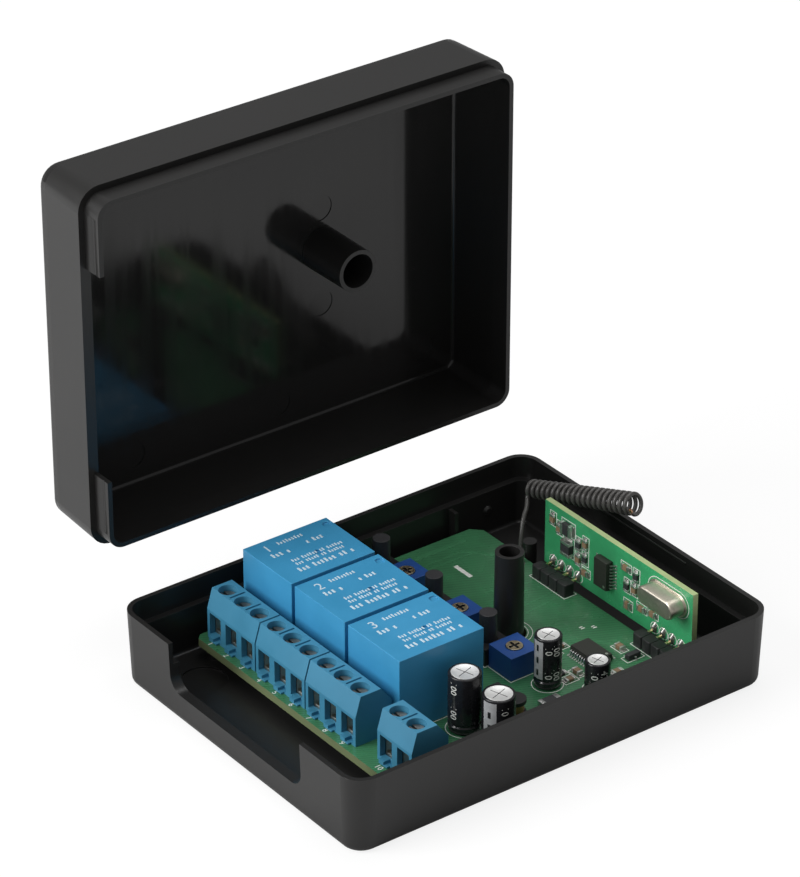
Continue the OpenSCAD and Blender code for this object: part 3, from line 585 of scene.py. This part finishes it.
def case_plastic(name, color, rough):
    """Black ABS: satin outside and polished on the lid's inner face."""
    f = Finish(name, color, rough)
    point = f.place()
    _, y, z = f.axes(point)
    lid_wall = 2.0
    over_parts = f.ramp(z, TOP + 14, TOP + 16)
    off_face = abs(y - (corners("lid")[1][1] - lid_wall))
    polished = f.ramp(off_face, 0.25, 0.5, 1.0, 0.0) * over_parts
    polished = polished * f.ramp(off_face, 0.06, 0.12, 1.0, 0.75)
    fine = f.noise(point, 4.5, 3.0, 0.6)
    slow = f.noise(point, 0.06, 3.0, 0.55)
    flow = f.noise(f.stretched(point, (0.5, 0.1, 0.02)), 1.0, 2.0)
    dust = f.ramp(f.noise(point, 2.2, 5.0, 0.7), 0.64, 0.8)
    clean = f.mixed(slow, shade(color, 0.9), shade(color, 1.1))
    f.color(f.mixed(dust * 0.10, clean, (0.3, 0.3, 0.3)))
    satin = f.ramp(slow, 0.3, 0.7, rough - 0.02, rough + 0.02)
    glossy = f.ramp(flow, 0.3, 0.7, 0.07, 0.15)
    f.rough(satin + polished * (glossy - satin) + dust * 0.08)
    f.bump(fine * (1.0 - polished * 0.85), 0.010)
    return f


def mask_green(name, color, pour, hatch=False):
    """Solder mask on copper: its colour over a pour, the weave of the board, and on the main
    board fine hatching 45 degrees to the sides."""
    f = Finish(name, color, 0.28, Coat_Weight=0.3, Coat_Roughness=0.12)
    point = f.place()
    slow = f.noise(point, 0.25, 3.0)
    weave = f.node("TexWave", {"wave_type": "BANDS", "bands_direction": "DIAGONAL"},
                   {"Vector": point, "Scale": 0.8, "Distortion": 0.4, "Detail": 1.0}, out=1)
    base = f.mixed(f.ramp(slow, 0.35, 0.65), color, pour)
    if hatch:
        x, y, _ = f.axes(point)
        lines = f.ramp(f.zigzag((x + y) * 1.15), 0.12, 0.2)
        base = f.mixed(lines * 0.5, base, shade(color, 1.8))
    f.color(base)
    f.rough(f.ramp(slow, 0.3, 0.7, 0.24, 0.36))
    f.bump(weave, 0.004)
    return f


def board_edge(name, color):
    """The sawn edge of a glass-fibre board."""
    f = Finish(name, color, 0.6)
    ply = f.noise(f.stretched(f.place(), (0.4, 0.4, 6.0)), 1.0, 3.0)
    f.color(f.mixed(ply, shade(color, 0.75), shade(color, 1.15)))
    f.bump(ply, 0.02)
    return f


def printed(name, color):
    """Screen-printed ink, a little patchy."""
    f = Finish(name, color, 0.6)
    patch = f.noise(f.place(), 3.0, 4.0, 0.7)
    f.color(f.mixed(f.ramp(patch, 0.35, 0.75), color, shade(color, 0.78)))
    f.bump(patch, 0.005)
    return f


def sleeve_film(name, color):
    """Shrunk film over a can: glossy, with a slow waviness."""
    f = Finish(name, color, 0.22)
    wave = f.noise(f.place(), 0.7, 3.0)
    f.color(f.mixed(wave, shade(color, 0.8), shade(color, 1.3)))
    f.rough(f.ramp(wave, 0.3, 0.7, 0.16, 0.32))
    f.bump(wave, 0.03)
    return f


def ceramic(name, color):
    """A fired chip body with a fine speckle."""
    f = Finish(name, color, 0.55)
    speck = f.noise(f.place(), 9.0, 3.0, 0.7)
    f.color(f.mixed(speck, shade(color, 0.75), shade(color, 1.25)))
    f.bump(speck, 0.006)
    return f


def winding(name, color):
    """Fine enamelled wire wound round Z: one turn every 0.12 mm of height. Each turn is painted
    lighter across its middle and darker where it meets the next: painted highlight and shade.
    """
    f = Finish(name, color, 0.3, 0.9)
    turn = f.zigzag(f.axes(f.place())[2] * 8.3)
    # Painted light: the middle of each turn is lighter and the line between turns darker, as
    # painted highlight and painted shade between the turns.
    f.color(f.mixed(turn * 1.6, shade(color, 1.2), shade(color, 0.4)))
    f.bump(turn, 0.03)
    return f


@cache
def finishes():
    """Every material by name, made from the looks at the first call."""
    scene = bpy.context.scene
    case, board, parts = scene.receiver_case, scene.receiver_board, scene.receiver_parts
    green, lively, edge = map(tuple, (board.mask_color, board.radio_color, board.edge_color))
    table = {
        "case_plastic": (case_plastic, tuple(case.shell_color), case.shell_roughness),
        "board_green": (mask_green, green, shade(green, 0.72), True),
        "board_edge": (board_edge, edge),
        "radio_green": (mask_green, lively, shade(lively, 0.8)),
        "radio_edge": (board_edge, shade(edge, 2.6)),
        "track": (mask_green, shade(green, 1.5), shade(green, 1.3)),
        "silk": (printed, (0.86, 0.87, 0.82)),
        "relay_ink": (printed, (0.62, 0.78, 0.88)),
        "relay_blue": (moulded, tuple(parts.relay_color), 0.34, 0.01, 0.05),
        "relay_base": (moulded, (0.05, 0.06, 0.07), 0.5),
        "iron": (metal, (0.56, 0.56, 0.56), 0.35),
        "copper_wire": (winding, (0.66, 0.30, 0.14)),
        "terminal_blue": (moulded, tuple(parts.terminal_color), 0.46, 0.014, 0.08),
        "brass_contact": (metal, (0.78, 0.60, 0.33), 0.3),
        "nickel": (metal, (0.62, 0.58, 0.50), 0.34, 4.0),
        "zinc_steel": (metal, (0.33, 0.32, 0.30), 0.36, 4.0),
        "trimmer_blue": (moulded, tuple(parts.trimmer_color), 0.36),
        "rotor_brass": (metal, (0.72, 0.60, 0.40), 0.3),
        "black_plastic": (moulded, (0.018, 0.018, 0.019), 0.42),
        "stem_black": (moulded, (0.03, 0.03, 0.033), 0.5, 0.012, 0.3),
        "capacitor_sleeve": (sleeve_film, (0.012, 0.012, 0.014)),
        "sleeve_stripe": (sleeve_film, (0.40, 0.40, 0.41)),
        "aluminium": (metal, (0.88, 0.88, 0.87), 0.42, 2.0, 0.006, 0.1, 0.6),
        "rubber": (moulded, (0.02, 0.02, 0.02), 0.7),
        "chip_black": (moulded, (0.026, 0.025, 0.021), 0.5, 0.02, 0.1, 7.0),
        "chip_tan": (ceramic, (0.26, 0.17, 0.10)),
        "chip_dark": (ceramic, (0.03, 0.03, 0.033)),
        "tin": (metal, (0.72, 0.72, 0.70), 0.3, 5.0),
        "solder": (metal, (0.52, 0.51, 0.48), 0.4, 2.0, 0.02),
        "gold": (metal, (0.83, 0.66, 0.36), 0.28),
        "crystal_can": (metal, (0.66, 0.61, 0.51), 0.36, 3.5, 0.012, 0.3),
        "wire_cover": (moulded, (0.08, 0.077, 0.073), 0.3, 0.02, 0.12),
        "copper": (metal, (0.80, 0.46, 0.28), 0.3),
    }
    return {name: make(name, *settings).material for name, (make, *settings) in table.items()}


# Looks

def colour(name, description, default):
    """A colour that a user may change."""
    return bpy.props.FloatVectorProperty(name=name, description=description, default=default,
                                         subtype="COLOR", size=3, min=0, max=1)


def amount(name, description, default, least=0.0, **more):
    """A number that a user may change."""
    return bpy.props.FloatProperty(name=name, description=description, default=default,
                                   min=least, **more)


class CaseLook(PropertyGroup):
    shell_color: colour("Shell colour", "Colour of the tray and the lid",
                        (0.0145, 0.0141, 0.0137))
    shell_roughness: amount("Shell roughness", "Roughness of the satin outside", 0.34, 0.05,
                            max=1, subtype="FACTOR")
    shell_edge: amount("Shell edge", "Radius of the shell's small edges", 0.00012,
                       max=0.001, unit="LENGTH")


class BoardLook(PropertyGroup):
    mask_color: colour("Mask colour", "Solder mask of the main board", (0.042, 0.165, 0.074))
    radio_color: colour("Radio mask colour", "Solder mask of the upright radio board",
                        (0.05, 0.40, 0.16))
    edge_color: colour("Edge colour", "Sawn edge of the boards", (0.17, 0.21, 0.10))


class PartsLook(PropertyGroup):
    relay_color: colour("Relay colour", "Cases of the three relays", (0.052, 0.31, 0.56))
    terminal_color: colour("Terminal colour", "Screw terminal blocks", (0.048, 0.235, 0.38))
    trimmer_color: colour("Trimmer colour", "Trimmer bodies", (0.02, 0.085, 0.32))


class StageLook(PropertyGroup):
    key_power: amount("Key light", "Power of the large lamp on the left", 18.5, unit="POWER")
    top_power: amount("Top light", "Power of the lamp above", 8.5, unit="POWER")
    ambient: amount("Ambient", "Strength of the white surroundings as light", 0.29)
    lens: amount("Lens", "Focal length on a 36 mm sensor", 199.0, 1, unit="CAMERA")


# Pieces

class ReceiverPiece:
    """What every operator here shares."""

    bl_options = {"REGISTER"}


class RECEIVER_OT_case(ReceiverPiece, Operator):
    """Tray and lid in black plastic with eased edges"""

    bl_idname, bl_label = "receiver.case", "Case"

    def execute(self, context):
        edge = context.scene.receiver_case.shell_edge / MM
        for node in ("tray", "lid"):
            softened(node, ["case_plastic"], edge, 34)
        return {"FINISHED"}


class RECEIVER_OT_main_board(ReceiverPiece, Operator):
    """Main board: solder mask, sawn edges, tracks and print"""

    bl_idname, bl_label = "receiver.main_board", "Main board"

    POST = (13.5, -1.8)
    # Each track: x and y of its start, of its end, and its width
    TRACKS = [
        (29.0, 9.5, 18.5, 12.0, 0.35), (29.0, 7.0, 20.5, 9.0, 0.35), (29.0, 4.5, 19.5, 3.5, 0.35),
        (29.0, 2.4, 20.5, 1.5, 0.35), (23.2, -13.5, 28.8, -18.9, 0.3),
        (22.8, -12.8, 28.8, -16.8, 0.3), (18.0, -13.2, 10.5, -8.0, 0.4),
        (17.8, -14.4, 9.8, -9.4, 0.4), (12.0, 26.5, 24.0, 26.5, 0.5),
        (12.0, 24.9, 26.0, 24.9, 0.5), (12.4, 29.5, 27.0, 29.5, 1.2),
        (24.0, 26.5, 29.5, 21.0, 0.5), (26.0, 24.9, 30.3, 18.0, 0.5),
    ]

    def execute(self, context):
        softened("main_board", ["board_green", "board_edge"], 0.06,
                 choose=lambda middle, normal: np.abs(normal[:, 2]) < 0.5)
        self.marks()
        self.tracks()
        return {"FINISHED"}

    def marks(self):
        """Numbers beside the terminals, rings round the post, part outlines and a plain bar."""
        form = Form()
        z = TOP + LIFT
        for i in range(1, POLES + 1):
            low, high = corners(f"clamp_screw_{i}")
            x = BOARD_LOW[0] + (0.68 if i < 10 else 1.3)
            form.numeral(str(i), 1.7, (x, (low[1] + high[1]) / 2 + 0.1, z), 0, READING)
        for radius in (3.75, 4.6):
            form.ring(radius, 0.14, (*self.POST, z))
        for stem in ("trimmer_body", "button_base", "relay_case"):
            for low, high in map(corners, numbered(stem, 3)):
                form.border(*(high - low)[:2] + 0.7, above(low, high, z))
        for low, high in islands("capacitors"):
            form.ring((high[1] - low[1]) / 2 + 0.45, 0.16, above(low, high, z))
        for low, high in islands("radio_headers"):
            form.border(3.1, 10.8, (low[0] + 1.25, (low[1] + high[1]) / 2, z))
        form.slab((0.9, 5.0, FILM), (20.0, 20.5, z), 0, 0.1, 0.01)
        for x, y in ((25.5, -8.5), (27.5, -9.6), (16.8, -9.5), (28.4, -25.0)):
            form.words((2,), 0.9, (x, y, z), READING)
        form.piece("board_print", ["silk"], "board_green", smooth=30)

    def tracks(self):
        """Copper under the mask, round a bare oval. Each track is a little thicker than the one
        before it, so two that cross share no face."""
        form = Form()
        oval = circle(1, 48)
        form.band(oval * (3.6, 2.1), oval * (3.45, 1.95), (22.6, -6.3, TOP))
        for i, (*ends, wide) in enumerate(self.TRACKS):
            start, end = np.reshape(ends, (2, 2))
            length = np.linalg.norm(end - start)
            form.slab((length + wide, wide, FILM + 0.0015 * i), (*(start + end) / 2, TOP),
                      0, wide / 2, 0.01, about_z(*(end - start) / length))
        form.piece("board_tracks", ["track"], "board_green", smooth=30)


class RECEIVER_OT_relays(ReceiverPiece, Operator):
    """Relay cases with eased edges and a plain printed panel, and their inner parts"""

    bl_idname, bl_label = "receiver.relays", "Relays"

    # Lines of ticks: distance down from the far edge, distance in, height and ticks to each word
    PRINT = [
        (2.3, 6.4, 1.05, (9,)), (5.5, 3.0, 1.4, (3, 1)), (4.9, 11.2, 1.3, (1, 3)),
        (8.9, 5.0, 0.95, (3, 6, 2, 6)), (10.3, 5.0, 0.95, (3, 5, 2, 6)),
        (12.3, 4.2, 1.4, (3, 6, 2, 1)),
    ]

    def execute(self, context):
        for k, node in enumerate(numbered("relay_case", 3), 1):
            softened(node, ["relay_blue"], 0.35)
            low, high = corners(node)
            form, z = Form(), high[2] + LIFT
            form.numeral(str(k), 3.2, (low[0] + 3.6, high[1] - 2.9, z))
            for down, x, tall, counts in self.PRINT:
                form.words(counts, tall, (low[0] + x, high[1] - down, z))
            form.piece(f"relay_print_{k}", ["relay_ink"], SLOT_OF[node])
        dress(["relay_bases"], "relay_base")
        dress(["relay_yokes"] + numbered("relay_armature", 3), "iron")
        dress(["relay_coils"], "copper_wire")
        return {"FINISHED"}


class RECEIVER_OT_terminals(ReceiverPiece, Operator):
    """Terminal blocks with eased edges, their screws, rising cages and contacts"""

    bl_idname, bl_label = "receiver.terminals", "Terminals"

    def execute(self, context):
        for stem, count, finish, edge in (("terminal_block", 4, "terminal_blue", 0.12),
                                          ("clamp_screw", POLES, "zinc_steel", 0.06),
                                          ("clamp_cage", POLES, "nickel", 0.06)):
            for node in numbered(stem, count):
                softened(node, [finish], edge)
        dress(["terminal_contacts"], "brass_contact")
        return {"FINISHED"}


class RECEIVER_OT_trimmers(ReceiverPiece, Operator):
    """Three trimmers with slotted rotors"""

    bl_idname, bl_label = "receiver.trimmers", "Trimmers"

    def execute(self, context):
        for body, rotor in zip(numbered("trimmer_body", 3), numbered("trimmer_rotor", 3)):
            softened(body, ["trimmer_blue"], 0.15)
            # Painted shade: the slot's faces take the near-black chip finish in place of brass.
            softened(rotor, ["rotor_brass", "chip_dark"], 0.05,
                     choose=lambda middle, normal: self.in_slot(rotor, middle))
        return {"FINISHED"}

    def in_slot(self, rotor, middle):
        """Faces in the slot, which take the dark chip finish as painted shade: a little below the
        rotor's top and near its axis.
        """
        low, high = corners(rotor)
        off_axis = np.hypot(*(middle[:, :2] - (low + high)[:2] / 2).T)
        return (middle[:, 2] > high[2] - 0.6) & (middle[:, 2] < high[2] - 0.1) & (off_axis < 1.5)


class RECEIVER_OT_buttons(ReceiverPiece, Operator):
    """Three push buttons with tall stems"""

    bl_idname, bl_label = "receiver.buttons", "Push buttons"

    def execute(self, context):
        for base, stem in zip(numbered("button_base", 3), numbered("button_stem", 3)):
            softened(base, ["black_plastic"], 0.12)
            softened(stem, ["stem_black"], 0.15)
        return {"FINISHED"}


class RECEIVER_OT_capacitors(ReceiverPiece, Operator):
    """Electrolytic cans: film sleeve with a stripe, aluminium top with painted-shade scores and
    rubber bung
    """

    bl_idname, bl_label = "receiver.capacitors", "Capacitors"

    # For each can, numbers at angles round it, and the angle of its stripe
    MARKS = [([(-0.75, "100")], None), ([(0.35, "10")], -0.6),
             ([(0.0, "10"), (0.62, "100")], -0.85), ([(-0.3, "10"), (0.5, "47")], None)]
    FRONT = radians(-127)
    BUNG = 0.3

    def execute(self, context):
        form = Form()
        for (low, high), marks in zip(islands("capacitors"), self.MARKS):
            self.can(form, low, high, *marks)
        form.dressed("capacitors", ("capacitor_sleeve", "sleeve_stripe", "aluminium", "rubber",
                                    "tin", "silk"))
        return {"FINISHED"}

    def can(self, form, low, high, numbers, stripe):
        """One can: a lathed sleeve with a groove, a cup with crossed scores drawn as dark film
        strips for painted shade, a bung, a stripe of minus bars, numbers that run down the sleeve,
        and two leads."""
        (x, y), r = (low + high)[:2] / 2, (high[1] - low[1]) / 2
        seat, top, soft = TOP + self.BUNG, high[2], 0.3
        h = top - seat
        sleeve = [(r - 0.5, 0), (r - 0.12, 0.02), (r, 0.3), (r, 1.25), (r - 0.2, 1.5),
                  (r - 0.2, 1.75), (r, 2.0)]
        sleeve += [(r - soft + soft * cos(a), h - soft + soft * sin(a))
                   for a in np.linspace(0, pi / 2, 5)]
        sleeve += [(r - 0.48, h - 0.02), (r - 0.5, h - 0.3)]
        cup = [(r - 0.49, 0), (r - 0.49, 0.2), (r - 0.56, 0.27), (r - 0.72, 0.27), (r - 0.84, 0.2)]
        bung = [(r - 0.6, 0), (r - 0.45, 0.1), (r - 0.45, 0.35)]
        form.loft(turned_rings(sleeve, 48), 0, UP, (x, y, seat))
        form.loft(turned_rings(cup, 48), 2, UP, (x, y, top - soft))
        # Painted shade: the scores are raised strips of the black sleeve finish, standing for the
        # shade in stamped grooves.
        for turn in (0.3, 0.3 + pi / 2):
            form.slab((1.7 * (r - 0.9), 0.15, 0.012), (x, y, top - 0.1), 0, 0.05, 0.005,
                      about_z(cos(turn), sin(turn)))
        form.loft(turned_rings(bung, 32), 3, UP, (x, y, seat - self.BUNG))
        if stripe is not None:
            a = self.FRONT + stripe
            form.patch(r, (a - 0.45, a + 0.45), (2.1, h - 0.5), (x, y, seat), 1)
            for z in np.arange(2.8, h - 1.6, 2.6):
                form.patch(r + FILM, (a - 0.1, a + 0.1), (z, z + 1.3), (x, y, seat), 0)
        for turn, text in numbers:
            a = self.FRONT + turn
            for z in (h - 2.2, h - 7.4):
                if z > 3.2:
                    form.numeral(text, 1.9, (x, y, seat + z), 5,
                                 about_z(cos(a), sin(a)), r)
        lead = turned_rings([(0.25, 0), (0.25, seat - low[2])], 12)
        for side in (-1, 1):
            form.loft(lead, 4, UP, (x + side * 1.2, y, low[2]))


class RECEIVER_OT_chips(ReceiverPiece, Operator):
    """Controller chip, radio chip, choke and the small soldered parts"""

    bl_idname, bl_label = "receiver.chips", "Chips and small parts"

    def execute(self, context):
        # For each chip, the axis of its span, its leads on a side, their pitch and its rows
        for node, first, leads, pitch, rows in (("controller_chip", 0, 10, 0.65, UP),
                                                ("radio_chip", 1, 8, 0.7, FACING)):
            low, high = corners(node)
            span, length = (high - low)[first:first + 2]
            place = above(low, high, TOP) if rows is UP else behind(low, high)
            form = Form()
            add_chip(form, span, length, leads, pitch, place, rows)
            form.dressed(node, ("chip_black", "tin", "solder"))
        softened("choke", ["black_plastic", "copper_wire"], 0.1, choose=self.wound)
        form = Form()
        for i, (low, high) in enumerate(islands("chip_parts")):
            tall, on_radio = high[2] - low[2] > 2.05, low[0] > BOARD_HIGH[0]
            add_small(form, low, high, int(tall or i % 3 == 0), on_radio)
        form.dressed("chip_parts", ("chip_tan", "chip_dark", "tin", "solder", "silk"))
        return {"FINISHED"}

    def wound(self, middle, normal):
        """Faces of the choke between its two flanges."""
        flange, high = 0.95, corners("choke")[1]
        return (middle[:, 2] > TOP + flange) & (middle[:, 2] < high[2] - flange)


class RECEIVER_OT_radio_board(ReceiverPiece, Operator):
    """Upright radio board with its crystal and pin headers"""

    bl_idname, bl_label = "receiver.radio_board", "Radio board"

    # Solder round a pin: radius and height
    CONE = [(0.62, 0), (0.58, 0.12), (0.46, 0.4), (0.34, 0.7)]

    def execute(self, context):
        softened("radio_board", ["radio_green", "radio_edge"], 0.05,
                 choose=lambda middle, normal: np.abs(normal[:, 0]) < 0.5)
        self.crystal()
        form = Form()
        for low, high in islands("radio_headers"):
            self.header(form, low, high)
        form.dressed("radio_headers", ("black_plastic", "gold", "solder", "silk"))
        return {"FINISHED"}

    def crystal(self):
        """A drawn can on a flange, of like stadium outlines eased at the top, in a printed line."""
        low, high = corners("crystal")
        height, length, width = high - low
        steps = [(0, 0), (0, 0.28), (0.1, 0.38), (0.32, 0.4), (0.4, 0.5), (0.4, height - 0.5)]
        steps += [(0.4 + 0.5 * (1 - cos(a)), height - 0.5 + 0.5 * sin(a))
                  for a in np.linspace(0.3, pi / 2, 5)]
        insets = [c for c, _ in steps] + [-0.45, -0.3]
        *can, outer, inner = [rounded(length - 2 * c, width - 2 * c, width / 2 - c, 12)
                              for c in insets]
        form, place = Form(), behind(low, high)
        form.loft(lifted(can, [z for _, z in steps]), 0, FACING, place)
        form.band(outer, inner, place, 1, FACING)
        form.dressed("crystal", ("crystal_can", "silk"))

    def header(self, form, low, high):
        """Four cells of black plastic with gold pins that cross the radio board, each with a
        lopsided cone of solder on both of its faces."""
        pitch, pin = 2.54, 0.52
        x, z = low[0] + 1.25, RADIO_LOW[2] + 1.15
        for i in range(4):
            y = (low[1] + high[1]) / 2 + (i - 1.5) * pitch
            form.slab((2.5, 2.5, 2.6), (x, y, TOP), 0, 0.45, 0.12)
            form.slab((pin, pin, high[0] - x), (x, y, z), 1, 0.08, 0.1, ALONG)
            form.slab((pin, pin, TOP - low[2]), (x, y, low[2]), 1, 0.08, 0.1)
            for rows, face, reach in ((FACING, RADIO_LOW[0], 1.0), (ALONG, RADIO_HIGH[0], 0.5)):
                ovals = [circle(q, 24) * (1, 1.9) + (0, 0.8 * q) for q, _ in self.CONE]
                cone = lifted(ovals, [t * reach for _, t in self.CONE])
                form.loft(cone, 2, rows, (face, y, z))
            form.ring(1.25, 0.14, (RADIO_LOW[0], y, z + 0.3), 3, FACING)


class RECEIVER_OT_aerial(ReceiverPiece, Operator):
    """Coiled wire aerial with its bare tip"""

    bl_idname, bl_label = "receiver.aerial", "Aerial"

    # The lead's points, from its solder joint
    LEAD = [(0, 0, 0), (0, 0, 0.8), (0.1, 0.15, 2), (0.4, 0.4, 4), (1, 0.9, 6.2), (1.7, 1.5, 7.7),
            (2.6, 2.15, 8.8), (3.6, 2.8, 9.6), (4.4, 3.6, 10.3), (4.9, 4.2, 10.8)]
    COVER, CORE, TURNS = 0.425, 0.3, 20

    def execute(self, context):
        foot = np.array([BOARD_HIGH[0] - 1.9, 16.4, TOP])
        start, end = foot + (6.4, 4.7, 12.1), foot + (11.3, -20.5, 18.8)
        coil = self.coil(start, end, np.linspace(0, 1, self.TURNS * 28 + 1))
        lead = smooth_path([foot + p for p in self.LEAD] + [coil[0]], 6)
        tip = self.coil(start, end, np.linspace(0.999, 1.003, 6))
        form = Form()
        for finish, path, radius in ((0, np.vstack([lead, coil[1:]]), self.COVER),
                                     (1, tip, self.CORE)):
            form.loft(swept_rings(path, circle(radius, 12), (1, 0, 0)), finish)
        cone = turned_rings([(1.0, 0), (0.85, 0.12), (0.55, 0.4), (0.46, 0.6)], 24)
        form.loft(cone, 2, UP, foot)
        form.dressed("antenna", ("wire_cover", "copper", "solder"), 60)
        return {"FINISHED"}

    def coil(self, start, end, t):
        """start + (end - start) t + (near + wider t)(v cos a + w sin a), where a goes from 30
        degrees back through all the turns, and v and w are square to the axis."""
        near, wider = 1.45, 0.5
        u = (end - start) / np.linalg.norm(end - start)
        v = np.cross(u, (0, 0, 1))
        v /= np.linalg.norm(v)
        t = t[:, None]
        a = radians(30) - 2 * pi * self.TURNS * t
        across = np.cos(a) * v + np.sin(a) * np.cross(u, v)
        return start + (end - start) * t + (near + wider * t) * across


class RECEIVER_OT_stage(ReceiverPiece, Operator):
    """Pale floor, soft lamps, white surroundings and the camera"""

    bl_idname, bl_label = "receiver.stage", "Stage"

    TARGET = Vector((0.03628, 0.06231, 0.0107))
    DISTANCE, AZIMUTH, ELEVATION = 0.88062, radians(-36.9), radians(29.86)

    def execute(self, context):
        look = context.scene.receiver_stage
        self.floor()
        self.surroundings(look.ambient)
        self.lamp("key_lamp", look.key_power, 0.9, (-1.2, 0.4, 0.75))
        self.lamp("top_lamp", look.top_power, 1.2, (0.2, 0.2, 1.4))
        self.camera(look.lens)
        context.scene.view_settings.view_transform = "Standard"
        return {"FINISHED"}

    def floor(self):
        """A square sheet of points 4 m wide, white to the camera and keeping the shadow."""
        cells = 8
        side = np.linspace(-2, 2, cells + 1)
        x, y = np.meshgrid(side, side, indexing="ij")
        points = np.stack([x, y, np.full_like(x, -0.00002)], -1).reshape(-1, 3)
        i, j = np.meshgrid(np.arange(cells), np.arange(cells), indexing="ij")
        a = i * (cells + 1) + j
        faces = np.stack([a, a + cells + 1, a + cells + 2, a + 1], -1).reshape(-1, 4)
        mesh = bpy.data.meshes.new("floor")
        mesh.from_pydata(points.tolist(), [], faces.tolist())
        f = Finish("floor_paper", (0.82, 0.82, 0.82), 0.9)
        glow = f.node("Emission", None, {"Color": (1, 1, 1, 1), "Strength": 0.84})
        lit, plain = [f.node("BsdfDiffuse", None, {"Color": (grey, grey, grey, 1)})
                      for grey in (0.19, 0.7)]
        both = f.node("AddShader", None, {0: glow, 1: lit})
        seen = f.node("MixShader", None, {0: f.node("LightPath"), 1: plain, 2: both})
        f.feed(f.tree.nodes["Material Output"].inputs["Surface"], seen)
        mesh.materials.append(f.material)
        shown("floor", mesh)

    def surroundings(self, ambient):
        """White all round where it is seen, and dimmer where it only gives light."""
        world = bpy.data.worlds.new("surroundings")
        bpy.context.scene.world = world
        world.use_nodes = True
        nodes = Nodes(world.node_tree)
        strength = nodes.node("MapRange", None, {0: nodes.node("LightPath"), 3: ambient, 4: 1.0})
        back = nodes.tree.nodes["Background"]
        nodes.feed(back.inputs["Color"], (1, 1, 1, 1))
        nodes.feed(back.inputs["Strength"], strength)

    def lamp(self, name, power, size, place):
        """A square soft lamp that looks at the receiver."""
        light = bpy.data.lights.new(name, "AREA")
        light.energy, light.size = power, size
        lamp = shown(name, light)
        lamp.location = place
        aim = Vector((0, 0.02, 0.03)) - Vector(place)
        lamp.rotation_euler = aim.to_track_quat("-Z", "Y").to_euler()

    def camera(self, lens):
        """Distance back from the target along (sin a cos e, -cos a cos e, sin e)."""
        a, e = self.AZIMUTH, self.ELEVATION
        back = Vector((sin(a) * cos(e), -cos(a) * cos(e), sin(e)))
        data = bpy.data.cameras.new("camera")
        data.lens, data.sensor_width, data.sensor_fit = lens, 36, "HORIZONTAL"
        data.clip_start, data.clip_end = 0.05, 20
        camera = shown("camera", data)
        camera.location = self.TARGET + back * self.DISTANCE
        camera.rotation_mode = "QUATERNION"
        camera.rotation_quaternion = (-back).to_track_quat("-Z", "Y")
        bpy.context.scene.camera = camera


# Panel

PIECES = ReceiverPiece.__subclasses__()  # in the order of their making
LOOKS = {"receiver_case": CaseLook, "receiver_board": BoardLook,
         "receiver_parts": PartsLook, "receiver_stage": StageLook}


class RECEIVER_PT_panel(Panel):
    """Lists the looks and the operators in the sidebar"""

    bl_idname, bl_label = "RECEIVER_PT_panel", "Relay receiver"
    bl_space_type, bl_region_type, bl_category = "VIEW_3D", "UI", "Receiver"

    def draw(self, context):
        for name, look in LOOKS.items():
            box = self.layout.box()
            for field in look.__annotations__:
                box.prop(getattr(context.scene, name), field)
        for piece in PIECES:
            self.layout.operator(piece.bl_idname)


def register():
    for group in (*LOOKS.values(), *PIECES, RECEIVER_PT_panel):
        bpy.utils.register_class(group)
    for name, look in LOOKS.items():
        setattr(bpy.types.Scene, name, bpy.props.PointerProperty(type=look))


def unregister():
    for name in LOOKS:
        delattr(bpy.types.Scene, name)
    for group in reversed((*LOOKS.values(), *PIECES, RECEIVER_PT_panel)):
        bpy.utils.unregister_class(group)


def main():
    """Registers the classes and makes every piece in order."""
    register()
    for piece in PIECES:
        group, name = piece.bl_idname.split(".")
        getattr(getattr(bpy.ops, group), name)()


if __name__ == "__main__":
    main()
